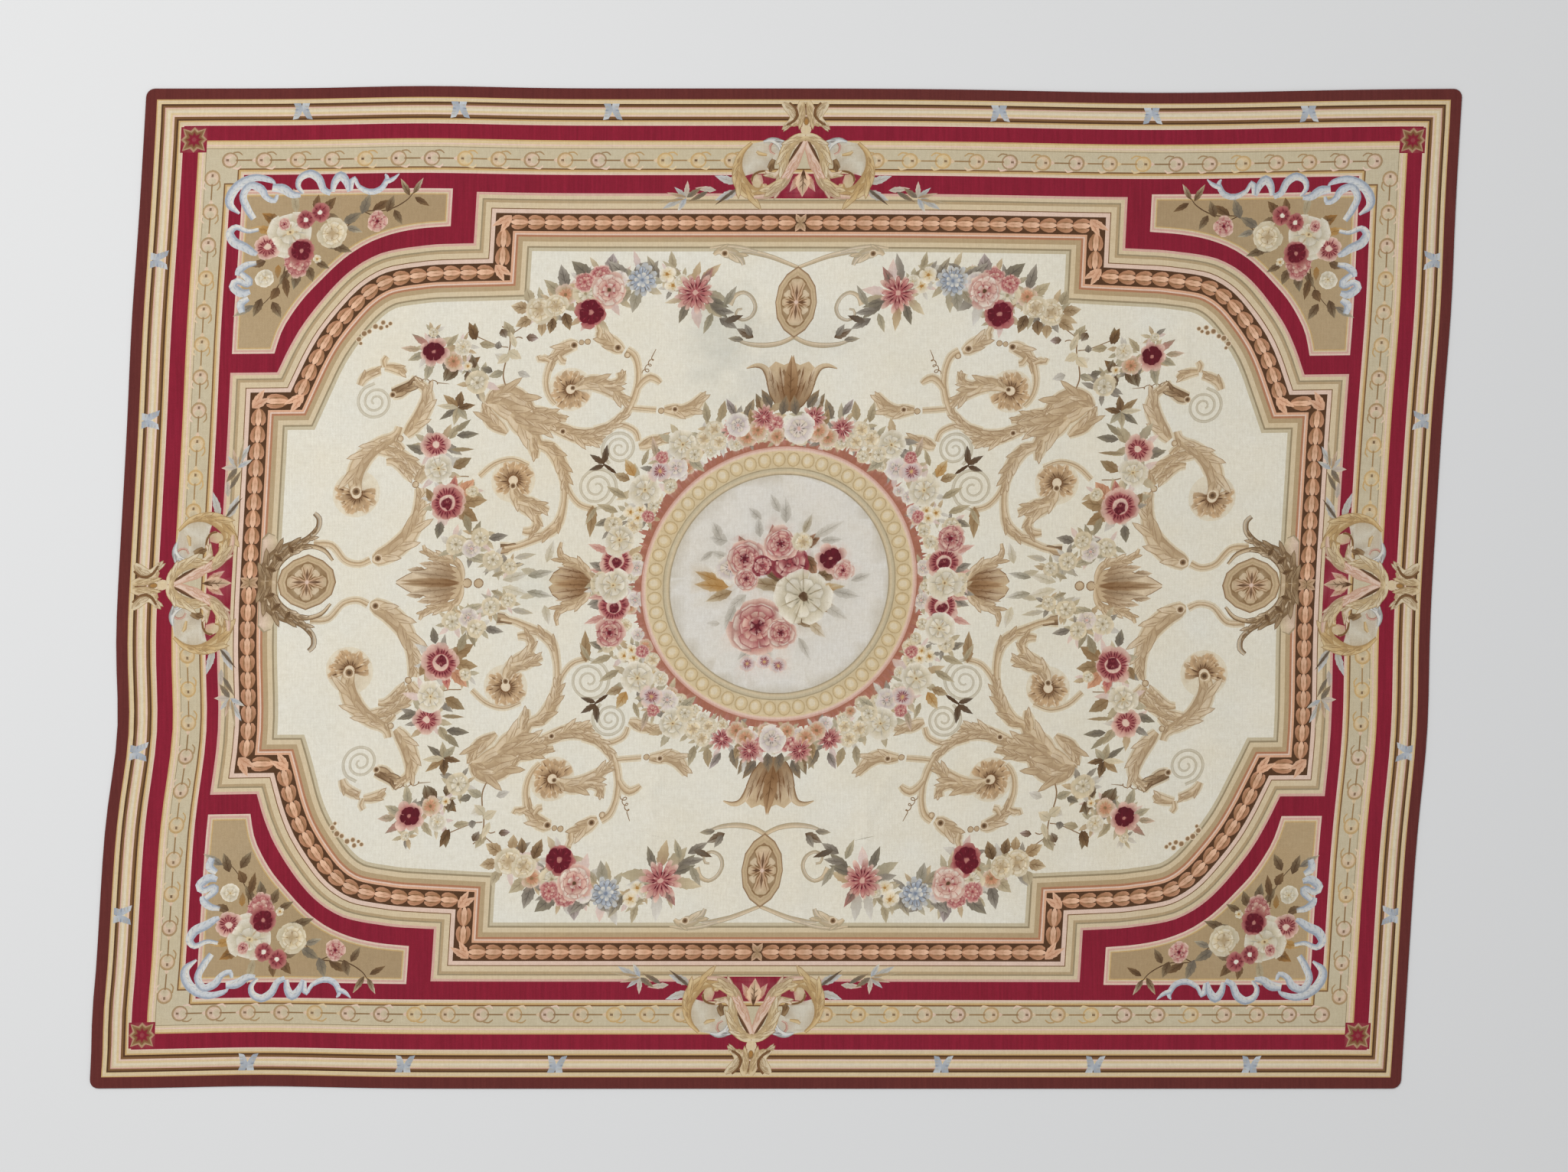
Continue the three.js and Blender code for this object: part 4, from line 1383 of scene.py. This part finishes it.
def laid(points):
    """From the square frame to where the cloth lies on the floor."""
    x, y = np.asarray(points, float).T
    u = (x + read_off(SHIFT_RIGHT, x) * read_off(RIGHT_SHARE, y)) / HALF_LENGTH
    v = (y + read_off(SHIFT_UP, y) * read_off(UP_SHARE, x)) / HALF_WIDTH
    half = (FAR_LENGTH * (1 + v) + NEAR_LENGTH * (1 - v)) / 4
    across, place = v * HALF_WIDTH, u * half
    far, right = (1 + v) / 2, (1 + u) / 2
    x = place + v * SKEW / 2 + right * bow("right", across) - (1 - right) * bow("left", across)
    y = across + far * bow("far", place) - (1 - far) * bow("near", place)
    return np.stack([x, y], 1)


BULGE = 0.0002


def square_outline():
    """The cloth's outline in the square frame, with round corners."""
    points = []
    corners = [(1, -1, -90), (1, 1, 0), (-1, 1, 90), (-1, -1, 180)]
    reach = np.array([HALF_LENGTH, HALF_WIDTH]) - CORNER_RADIUS
    for (sx, sy, turn), following in zip(corners, corners[1:] + corners[:1]):
        for k in range(CORNER_STEPS + 1):
            a = math.radians(turn + 90 * k / CORNER_STEPS)
            points.append(reach * (sx, sy) + np.array([math.cos(a), math.sin(a)]) * CORNER_RADIUS)
        start, stop = points[-1], points[-1].copy()
        axis = 0 if following[1] == sy else 1
        stop[axis] = reach[axis] * following[axis]
        steps = round(math.hypot(*(stop - start)) / SIDE_STEP)
        points += [start + (stop - start) * k / steps for k in range(1, steps)]
    points = np.array(points)
    # each side bulges by a third of a millimetre, so that no three of its points are in line
    share = points / (HALF_LENGTH, HALF_WIDTH)
    return points * (1 + BULGE * (1 - share[:, ::-1] ** 2))


outline = square_outline()
laid_outline = laid(outline)
centre = (laid_outline.min(0) + laid_outline.max(0)) / 2


def crease_line(ends):
    """A crease's middle, its direction and its length."""
    start, stop = np.array(ends[:2], float), np.array(ends[2:], float)
    length = np.linalg.norm(stop - start)
    return (start + stop) / 2, (stop - start) / length, length


def rise(xy):
    """How far the cloth stands off the floor in its creases. Places are before centring."""
    z = np.zeros(len(xy))
    foot = math.sqrt(1 - (1 - 1 / CREASE_RISE) ** 2)
    for *ends, half, high in CREASES:
        middle, way, length = crease_line(ends)
        from_middle = xy - middle
        s = from_middle @ way / (length / 2 / foot)
        t = from_middle @ (-way[1], way[0]) / (half / foot)
        cap = high * CREASE_RISE * np.sqrt(np.clip(1 - s**2 - t**2, 0, None)) - high * (CREASE_RISE - 1)
        z = np.maximum(z, cap)
    return z


def crease_points(spacing):
    """Points over the creases, in the square frame, so that the sheet follows them."""
    made = []
    for *ends, half, _ in CREASES:
        middle, way, length = crease_line(ends)
        for s in np.arange(-length / 2, length / 2 + 1, spacing):
            for t in np.linspace(-half * 1.1, half * 1.1, 7):
                x, y = middle + way * s + np.array([-way[1], way[0]]) * t
                made.append((x - SKEW / 2 * y / HALF_WIDTH - 11, y - 6))
    return np.array(made)


AT_ONCE = 400000  # pairs of a point and a side that are worked through together


def inside(points, outline, ends=None):
    """Which points lie inside an outline, by its winding. The ends of its sides may be given as well."""
    turns = np.zeros(len(points), int)
    x, y = points[:, :1], points[:, 1:]
    rows = max(1, AT_ONCE // max(1, len(points)))
    ends = np.roll(outline, -1, 0) if ends is None else ends
    for k in range(0, len(outline), rows):
        (x0, y0), (x1, y1) = outline[k : k + rows].T, ends[k : k + rows].T
        side = (x1 - x0) * (y - y0) - (x - x0) * (y1 - y0)
        turns += ((y0 <= y) & (y < y1) & (side > 0)).sum(1)
        turns -= ((y1 <= y) & (y < y0) & (side < 0)).sum(1)
    return turns != 0


class Places:
    """Points sorted into square cells, so that those near an outline are found quickly."""

    def __init__(self, points, cell=60.0):
        self.cell = cell
        keys = np.floor(points / cell).astype(int)
        self.order = np.lexsort((keys[:, 1], keys[:, 0]))
        self.points = points[self.order]
        sorted_keys = keys[self.order]
        cuts = np.flatnonzero(np.any(np.diff(sorted_keys, axis=0), axis=1)) + 1
        cuts = np.concatenate([[0], cuts, [len(points)]])
        self.cells = {tuple(sorted_keys[i]): (i, j) for i, j in zip(cuts[:-1], cuts[1:])}

    def near(self, outline):
        """The places of the points in the outline's box, in the sorted order."""
        lo, hi = outline.min(0), outline.max(0)
        k0, k1 = np.floor(lo / self.cell).astype(int), np.floor(hi / self.cell).astype(int)
        if (k1 - k0).prod() > 400:
            picked = np.arange(len(self.points))
        else:
            keys = [(i, j) for i in range(k0[0], k1[0] + 1) for j in range(k0[1], k1[1] + 1)]
            spans = [self.cells[key] for key in keys if key in self.cells]
            if not spans:
                return np.zeros(0, int)
            picked = np.concatenate([np.arange(i, j) for i, j in spans])
        at = self.points[picked]
        return picked[np.all((at >= lo) & (at <= hi), axis=1)]


def evenly(outline, step=64.0):
    """A closed outline with no side longer than the step, so that it can bend with the cloth."""
    made = []
    for a, b in zip(outline, np.roll(outline, -1, 0)):
        n = max(1, math.ceil(np.hypot(*(b - a)) / step))
        made += [a + (b - a) * k / n for k in range(n)]
    return np.array(made)


FINENESS = 0.5  # the sides of areas are rounded to this


def sides_that_show(areas):
    """The sides of all outlines but the first, the whole cloth's, less those that later areas cover."""
    lines = [np.round(evenly(s.outline) / FINENESS) * FINENESS for s in areas[1:]]
    starts, stops = np.vstack(lines), np.vstack([np.roll(line, -1, 0) for line in lines])
    owners = np.repeat(np.arange(1, len(areas)), [len(line) for line in lines])
    places = Places((starts + stops) / 2)
    order = places.order
    starts, stops, owners = starts[order], stops[order], owners[order]
    shows = np.any(starts != stops, axis=1)
    for number, s in enumerate(areas):
        near = places.near(s.outline)
        near = near[shows[near] & (owners[near] < number)]
        for points in (places.points, starts, stops):
            if len(near):
                near = near[inside(points[near], s.outline)]
        shows[near] = False
    return starts[shows], stops[shows]


def cut_into_triangles(areas, spacing, creases, seams, merge):
    """The cloth cut along every side that shows, and along the seams, which are pairs of starts and stops.
    Gives the points, the triangles and each one's area."""
    starts, stops = sides_that_show(areas)
    starts, stops = np.vstack([starts, seams[0]]), np.vstack([stops, seams[1]])
    n = len(outline)
    across = np.arange(-HALF_LENGTH + spacing / 2, HALF_LENGTH, spacing)
    up = np.arange(-HALF_WIDTH + spacing / 2, HALF_WIDTH, spacing)
    grid = np.array([(x, y) for x in across for y in up])
    grid += np.random.default_rng(3).uniform(-0.2, 0.2, grid.shape) * spacing
    grid = grid[np.all(np.abs(grid) < (HALF_LENGTH - 12, HALF_WIDTH - 12), axis=1)]
    rim = outline * (1 - 5 / np.array([HALF_LENGTH, HALF_WIDTH]))
    lines, at = np.unique(np.vstack([starts, stops]), axis=0, return_inverse=True)
    at = at.reshape(2, -1) + n
    edges = [(i, (i + 1) % n) for i in range(n)] + np.unique(np.sort(at.T, axis=1), axis=0).tolist()
    points = np.vstack([outline, lines, rim, grid, creases])
    flat, _, faces, *_ = delaunay_2d_cdt([Vector(p) for p in points], edges, [], 0, merge, False)
    flat, faces = np.array([tuple(p) for p in flat]), np.array(faces)
    places = Places(flat[faces].mean(1))
    found = np.full(len(faces), -1)
    for number in range(len(areas) - 1, -1, -1):
        near = places.near(areas[number].outline)
        near = near[found[near] < 0]
        found[near[inside(places.points[near], areas[number].outline)]] = number
    owner = np.empty_like(found)
    owner[places.order] = np.maximum(found, 0)
    return flat, faces, owner


def corner_colours(areas, flat, faces, owner):
    """The wool's colour at each corner of each triangle."""
    colours = np.zeros((len(faces), 3, 3))
    order = np.argsort(owner, kind="stable")
    cuts = np.concatenate([[0], np.flatnonzero(np.diff(owner[order])) + 1, [len(order)]])
    for k in range(len(cuts) - 1):
        own = order[cuts[k] : cuts[k + 1]]
        s = areas[owner[own[0]]]
        at = flat[faces[own]]
        if np.allclose(s.near, s.far):
            colours[own] = s.near
            continue
        start, way = s.ends[0], s.ends[1] - s.ends[0]
        reach = max(way @ way, 1e-9)
        if s.round:
            share = np.linalg.norm(at - start, axis=2) / math.sqrt(reach)
        else:
            share = (at - start) @ way / reach
        share = np.clip(share, 0, 1)[..., None]
        colours[own] = s.near * (1 - share) + s.far * share
    return np.clip(colours, 0, 1)


# The visible cloth is cut into parts along these lines, from the outside in, so that each part stays light.
# The first part runs out to the cloth's own edge.
PARTS = {
    "rug_border": outline,
    "rug_frame": all_round(frame_line(2)),
    "rug_field": oval(0, 0, 1280, 905, count=ROUND),
    "rug_scrolls": oval(0, 0, 960, 735, count=ROUND),
    "rug_medallion": oval(0, 0, 545, count=ROUND),
}


def seam_lines():
    """The lines between the parts, from the outside in."""
    return [evenly(line).round() for line in list(PARTS.values())[1:]]


def part_of(places):
    """Which part of the rug each place is in."""
    part = np.zeros(len(places), int)
    for number, line in enumerate(seam_lines(), 1):
        part[inside(places, line)] = number
    return part


def flat_sizes():
    """The width and length of each part, and its area less the next part's."""
    lines = list(PARTS.values())
    full = [abs((x * np.roll(y, -1) - y * np.roll(x, -1)).sum()) / 2 for x, y in (line.T for line in lines)]
    return [(line.max(0) - line.min(0), all - less) for line, all, less in zip(lines, full, full[1:] + [0])]


def open_sides(faces):
    """The sides of triangles that no other of them shares, as start and stop."""
    sides = faces[:, [[0, 1], [1, 2], [2, 0]]].reshape(-1, 2)
    _, first, count = np.unique(np.sort(sides, axis=1), axis=0, return_index=True, return_counts=True)
    return sides[first[count == 1]]


def softened(colours, faces, motif, share):
    """The colours, each blended with its neighbours' where it is in a motif, as hatched wools are."""
    at = faces[motif].ravel()
    total = np.zeros((faces.max() + 1, 3))
    count = np.zeros(faces.max() + 1)
    np.add.at(total, at, colours[motif].reshape(-1, 3))
    np.add.at(count, at, 1)
    mean = total[at] / count[at][:, None]
    colours[motif] = colours[motif] * (1 - share) + mean.reshape(-1, 3, 3) * share
    return colours


def placed(name, data):
    """A new object, linked to the scene."""
    ob = bpy.data.objects.new(name, data)
    bpy.context.scene.collection.objects.link(ob)
    return ob


def coloured_mesh(name, points, shapes, tone):
    """An object from points in millimetres, faces, and a wool colour at each of their corners."""
    me = bpy.data.meshes.new(name)
    me.from_pydata(points / 1000, [], shapes)
    linear = np.where(tone <= 0.04045, tone / 12.92, ((tone + 0.055) / 1.055) ** 2.4)
    layer = me.color_attributes.new("wool", "FLOAT_COLOR", "CORNER")
    full = np.column_stack([linear, np.ones(len(linear))]).astype(np.float32)
    layer.data.foreach_set("color", full.ravel())
    me.shade_smooth()
    me.set_sharp_from_angle(angle=math.radians(50))
    return placed(name, me)


def nearest(points, wanted):
    """The number of the point nearest to each wanted place."""
    return np.array([np.argmin(np.abs(points - p).sum(1)) for p in wanted])


FACE_GRID = 42  # between the points that are added inside the areas of the face
BACK_GRID = 80
EDGE_DRAW = 1.2


def make_rug(areas, plain_count):
    """The parts of the rug, each closed. The first areas, up to the plain count, show on the back too."""
    lines = seam_lines()
    seams = np.vstack(lines), np.vstack([np.roll(line, -1, 0) for line in lines])
    flat, faces, owner = cut_into_triangles(areas, FACE_GRID, crease_points(10), seams, 0.02)
    colours = softened(corner_colours(areas, flat, faces, owner), faces, owner >= plain_count, 0.5)
    part = part_of(flat[faces].mean(1))
    cut = np.vstack([open_sides(faces[part == number]) for number in range(1, len(PARTS))])
    seams = flat[cut[:, 0]], flat[cut[:, 1]]
    plain = areas[:plain_count]
    back_flat, back_faces, back_owner = cut_into_triangles(plain, BACK_GRID, crease_points(14), seams, 1e-3)
    back_colours = corner_colours(plain, back_flat, back_faces, back_owner)
    # a thin triangle on a seam goes with the face above it, so the back is told apart by the face's sides
    back_part = np.zeros(len(back_faces), int)
    for number in range(1, len(PARTS)):
        sides = open_sides(faces[part >= number])
        back_part[inside(back_flat[back_faces].mean(1), flat[sides[:, 0]], flat[sides[:, 1]])] = number
    place, back_place = laid(flat), laid(back_flat)
    top = np.column_stack([place - centre, THICKNESS + rise(place)])
    back = np.column_stack([back_place - centre, rise(back_place)])
    # at the rug's edge, the top and the back are drawn in a little, and the middle stands out
    edge = nearest(flat, outline)
    rim = np.column_stack([top[edge, :2], np.full(len(edge), THICKNESS / 2)])
    inward = rim[:, :2] / np.linalg.norm(rim[:, :2], axis=1)[:, None] * EDGE_DRAW
    top[edge, :2] -= inward
    back[nearest(back_flat, outline), :2] -= inward
    tree = KDTree(len(back_flat))
    for i, p in enumerate(back_flat):
        tree.insert((*p, 0), i)
    tree.balance()
    first_rim, first_back = len(top), len(top) + len(rim)
    points = np.vstack([top, rim, back])
    rim_of = {i: first_rim + k for k, i in enumerate(edge)}
    made = []
    for number, name in enumerate(PARTS):
        own, back_own = part == number, back_part == number
        walls = []
        for i, j in open_sides(faces[own]):
            low_i, low_j = (first_back + tree.find((*flat[k], 0))[1] for k in (i, j))
            if i in rim_of and j in rim_of:
                walls.append((j, i, rim_of[i], rim_of[j]))
                walls.append((rim_of[j], rim_of[i], low_i, low_j))
            else:
                walls.append((j, i, low_i, low_j))
        tops, backs = faces[own], first_back + back_faces[back_own][:, ::-1]
        corners = np.concatenate([tops.ravel(), backs.ravel(), np.ravel(walls)])
        used, at = np.unique(corners, return_inverse=True)
        wall_start = 3 * (len(tops) + len(backs))
        shapes = at[:wall_start].reshape(-1, 3).tolist() + at[wall_start:].reshape(-1, 4).tolist()
        wall_tone = np.tile(wool("edge"), (4 * len(walls), 1))
        back_tone = back_colours[back_own][:, ::-1].reshape(-1, 3)
        tone = np.vstack([colours[own].reshape(-1, 3), back_tone, wall_tone])
        made.append(coloured_mesh(name, points[used], shapes, tone))
    return made


def plain_material(name, colour, rough):
    m = bpy.data.materials.new(name)
    m.use_nodes = True
    p = m.node_tree.nodes["Principled BSDF"]
    p.inputs["Base Color"].default_value = (*colour, 1)
    p.inputs["Roughness"].default_value = rough
    return m


def node_group(name, inputs, outputs):
    """An empty shader node group with named sockets, and its two end nodes."""
    made = bpy.data.node_groups.new(name, "ShaderNodeTree")
    for label, kind, value in inputs:
        socket = made.interface.new_socket(label, in_out="INPUT", socket_type=kind)
        socket.default_value = value
    for label, kind in outputs:
        made.interface.new_socket(label, in_out="OUTPUT", socket_type=kind)
    return made, made.nodes.new("NodeGroupInput"), made.nodes.new("NodeGroupOutput")


def feed(tree, socket, value):
    """Gives a socket a plain value, or links another socket to it."""
    if isinstance(value, bpy.types.NodeSocket):
        tree.links.new(value, socket)
    else:
        socket.default_value = value


def sum_of(tree, how, *values):
    node = tree.nodes.new("ShaderNodeMath")
    node.operation = how
    for socket, value in zip(node.inputs, values):
        feed(tree, socket, value)
    return node.outputs[0]


def vector_math(tree, how, first, second=(0, 0, 0)):
    node = tree.nodes.new("ShaderNodeVectorMath")
    node.operation = how
    feed(tree, node.inputs[0], first)
    feed(tree, node.inputs[1], second)
    return node.outputs["Value" if how == "LENGTH" else "Vector"]


def ramp(tree, value, low, high, out_low, out_high, smooth=True):
    """A value carried from one range to another and kept in it."""
    node = tree.nodes.new("ShaderNodeMapRange")
    node.interpolation_type = "SMOOTHSTEP" if smooth else "LINEAR"
    labels = ("Value", "From Min", "From Max", "To Min", "To Max")
    for label, source in zip(labels, (value, low, high, out_low, out_high)):
        feed(tree, node.inputs[label], source)
    return node.outputs["Result"]


def noise(tree, place, detail=3.0):
    node = tree.nodes.new("ShaderNodeTexNoise")
    for label, value in (("Vector", place), ("Scale", 1.0), ("Detail", detail), ("Roughness", 0.55)):
        feed(tree, node.inputs[label], value)
    return node.outputs[0]


def tinted(tree, colour, tint, share):
    """The colour multiplied by a tint, in part."""
    node = tree.nodes.new("ShaderNodeMix")
    node.data_type = "RGBA"
    node.blend_type = "MULTIPLY"
    for number, value in ((0, share), (6, colour), (7, tint)):
        feed(tree, node.inputs[number], value)
    return node.outputs[2]


def streaks_group():
    """Uneven dye: the colour turns darker and lighter in streaks, so many to the metre each way."""
    inputs = [
        ("Colour", "NodeSocketColor", (1, 1, 1, 1)),
        ("Place", "NodeSocketVector", (0, 0, 0)),
        ("To the metre", "NodeSocketVector", (100, 100, 1)),
        ("Depth", "NodeSocketFloat", 0.1),
        ("Where", "NodeSocketFloat", 1.0),
        ("Tint", "NodeSocketColor", (0.5, 0.5, 0.5, 1)),
    ]
    tree, start, end = node_group("dye streaks", inputs, [("Colour", "NodeSocketColor")])
    given = start.outputs
    place = vector_math(tree, "MULTIPLY", given["Place"], given["To the metre"])
    share = ramp(tree, noise(tree, place), 0.3, 0.7, 0.0, given["Depth"], smooth=False)
    held = sum_of(tree, "MULTIPLY", share, given["Where"])
    feed(tree, end.inputs[0], tinted(tree, given["Colour"], given["Tint"], held))
    return tree


def patch_group():
    """A soft-edged faded or soiled patch, ragged by noise."""
    inputs = [
        ("Colour", "NodeSocketColor", (1, 1, 1, 1)),
        ("Place", "NodeSocketVector", (0, 0, 0)),
        ("Middle", "NodeSocketVector", (0, 0, 0)),
        ("Reach", "NodeSocketVector", (0.2, 0.2, 1)),
        ("Depth", "NodeSocketFloat", 0.3),
        ("Tint", "NodeSocketColor", (0.8, 0.8, 0.8, 1)),
    ]
    tree, start, end = node_group("soft patch", inputs, [("Colour", "NodeSocketColor")])
    given = start.outputs
    from_middle = vector_math(tree, "SUBTRACT", given["Place"], given["Middle"])
    away = vector_math(tree, "LENGTH", vector_math(tree, "DIVIDE", from_middle, given["Reach"]))
    uneven = noise(tree, vector_math(tree, "MULTIPLY", given["Place"], (11, 14, 1)))
    ragged_away = sum_of(tree, "MULTIPLY_ADD", uneven, 1.4, away)
    share = ramp(tree, ragged_away, 0.7, 1.8, given["Depth"], 0.0)
    feed(tree, end.inputs[0], tinted(tree, given["Colour"], given["Tint"], share))
    return tree


def ribs_group():
    """The cloth's ribs, which run across the rug, and the finer rows of yarn over them, as a height."""
    inputs = [("Place", "NodeSocketVector", (0, 0, 0)), ("Ribs to the metre", "NodeSocketFloat", 227.0)]
    tree, start, end = node_group("tapestry ribs", inputs, [("Height", "NodeSocketFloat")])
    given = start.outputs
    wave = tree.nodes.new("ShaderNodeTexWave")
    wave.bands_direction = "X"
    scale = sum_of(tree, "MULTIPLY", given["Ribs to the metre"], 2 * math.pi / 20)
    settings = {"Vector": given["Place"], "Scale": scale, "Distortion": 2.4}
    for label, value in (settings | {"Detail": 2.0, "Detail Scale": 45.0}).items():
        feed(tree, wave.inputs[label], value)
    rows = noise(tree, vector_math(tree, "MULTIPLY", given["Place"], (240, 900, 1)), 1.0)
    feed(tree, end.inputs[0], sum_of(tree, "MULTIPLY_ADD", rows, 0.8, wave.outputs["Fac"]))
    return tree


# Uneven dye: streaks to the metre along x and y, depth, tint, and whether only in the deep reds
STREAKS = [
    ((420, 520), 0.4, (0.78, 0.77, 0.76), False),
    ((150, 50), 0.48, (0.82, 0.79, 0.76), False),
    ((40, 200), 0.36, (0.84, 0.82, 0.78), False),
    ((150, 6), 0.55, (0.62, 0.5, 0.55), True),
    ((30, 3), 0.35, (0.7, 0.62, 0.72), True),
    ((4, 5), 0.5, (0.98, 0.93, 0.83), False),
    ((9, 7), 0.4, (0.92, 0.955, 1.0), False),
]
# Faded and soiled patches: middle and reach in mm, as the cloth lies, depth and tint
PATCHES = [
    ((-150, 700), (130, 200), 0.5, (0.66, 0.69, 0.7)),
    ((-665, 10), (120, 70), 0.4, (0.82, 0.88, 0.94)),
    ((60, 700), (230, 110), 0.3, (0.74, 0.76, 0.8)),
    ((-30, 560), (120, 80), 0.3, (0.72, 0.72, 0.74)),
    ((900, 0), (800, 1300), 0.4, (0.93, 0.9, 0.84)),
    ((-620, 200), (420, 300), 0.25, (0.95, 0.88, 0.76)),
    ((700, -700), (700, 400), 0.22, (0.9, 0.86, 0.8)),
    ((-100, -760), (500, 200), 0.22, (0.96, 0.9, 0.8)),
    ((-1130, 900), (260, 150), 0.2, (0.72, 0.78, 0.68)),
    ((-1270, -930), (260, 150), 0.15, (0.74, 0.8, 0.72)),
    ((1300, -900), (260, 150), 0.2, (0.72, 0.78, 0.68)),
    ((1330, 900), (260, 150), 0.15, (0.74, 0.8, 0.72)),
]


def placed_group(tree, kind, values):
    """A group node whose named sockets are given plain values or linked."""
    node = tree.nodes.new("ShaderNodeGroup")
    node.node_tree = kind
    for label, value in values.items():
        feed(tree, node.inputs[label], value)
    return node.outputs[0]


def wool_material():
    m = bpy.data.materials.new("woven wool")
    m.use_nodes = True
    tree = m.node_tree
    p = tree.nodes["Principled BSDF"]
    p.inputs["Specular IOR Level"].default_value = 0.15
    p.inputs["Sheen Weight"].default_value = 0.08
    p.inputs["Sheen Roughness"].default_value = 0.6
    dyed = tree.nodes.new("ShaderNodeAttribute")
    dyed.attribute_name = "wool"
    place = tree.nodes.new("ShaderNodeTexCoord").outputs["Object"]
    channels = tree.nodes.new("ShaderNodeSeparateColor")
    feed(tree, channels.inputs[0], dyed.outputs["Color"])
    green_share = sum_of(tree, "DIVIDE", channels.outputs["Green"], channels.outputs["Red"])
    deep_red = ramp(tree, green_share, 0.14, 0.34, 1.0, 0.0)
    colour = dyed.outputs["Color"]
    streaks, patch, ribs = streaks_group(), patch_group(), ribs_group()
    for to_the_metre, depth, tint, only_red in STREAKS:
        values = {"Colour": colour, "Place": place, "To the metre": (*to_the_metre, 1)}
        values |= {"Depth": depth, "Tint": (*tint, 1), "Where": deep_red if only_red else 1.0}
        colour = placed_group(tree, streaks, values)
    for middle, reach, depth, tint in PATCHES:
        middle, reach = (*((np.array(middle) - centre) / 1000), 0), (*(np.array(reach) / 1000), 1)
        values = {"Colour": colour, "Place": place, "Middle": middle, "Reach": reach}
        colour = placed_group(tree, patch, values | {"Depth": depth, "Tint": (*tint, 1)})
    height = placed_group(tree, ribs, {"Place": place})
    # Painted shade: the colour is darkened in the grooves between the ribs, where the height is low
    groove_shade = ramp(tree, height, 0.2, 1.0, 0.16, 0.0, smooth=False)
    feed(tree, p.inputs["Base Color"], tinted(tree, colour, (0.55, 0.52, 0.5, 1), groove_shade))
    feed(tree, p.inputs["Roughness"], ramp(tree, height, 0.2, 1.6, 0.96, 0.84, smooth=False))
    bump = tree.nodes.new("ShaderNodeBump")
    for label, value in (("Strength", 0.55), ("Distance", 0.0006), ("Height", height)):
        feed(tree, bump.inputs[label], value)
    feed(tree, p.inputs["Normal"], bump.outputs["Normal"])
    return m


areas, plain_count = build_pattern()
floor_mesh = bpy.data.meshes.new("floor")
floor_mesh.from_pydata([(*corner, 0) for corner in box(-7, -7, 7, 7)], [], [(0, 1, 2, 3)])
floor = placed("floor", floor_mesh)
floor.data.materials.append(plain_material("pale floor", (0.66, 0.655, 0.645), 0.8))
woven = wool_material()
for piece, (size, flat_area) in zip(make_rug(areas, plain_count), flat_sizes()):
    piece.data.materials.append(woven)
    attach(piece, "root")
    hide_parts("woven_cloth")

WINDOW = (-4.5, 2.5, 8.0)
lamp = bpy.data.lights.new("window", "AREA")
lamp.shape = "SQUARE"
lamp.size = 4.0
lamp.energy = 430
window = placed("window", lamp)
window.location = WINDOW
window.rotation_euler = (-Vector(WINDOW)).to_track_quat("-Z", "Y").to_euler()
world = bpy.data.worlds.new("room")
world.use_nodes = True
world.node_tree.nodes["Background"].inputs["Color"].default_value = (0.95, 0.97, 1.0, 1)
world.node_tree.nodes["Background"].inputs["Strength"].default_value = 0.7
bpy.context.scene.world = world
bpy.context.scene.view_settings.view_transform = "Standard"

# The camera looks straight down. The middle of its view and the view's width, in metres
VIEW_MIDDLE = (0.0258, 0.0072)
VIEW_WIDTH = 4.364
camera = bpy.data.cameras.new("camera")
camera.lens = 200
camera.clip_end = 100
camera_object = placed("camera", camera)
camera_object.location = (*(VIEW_MIDDLE - centre / 1000), VIEW_WIDTH * camera.lens / camera.sensor_width)
bpy.context.scene.camera = camera_object
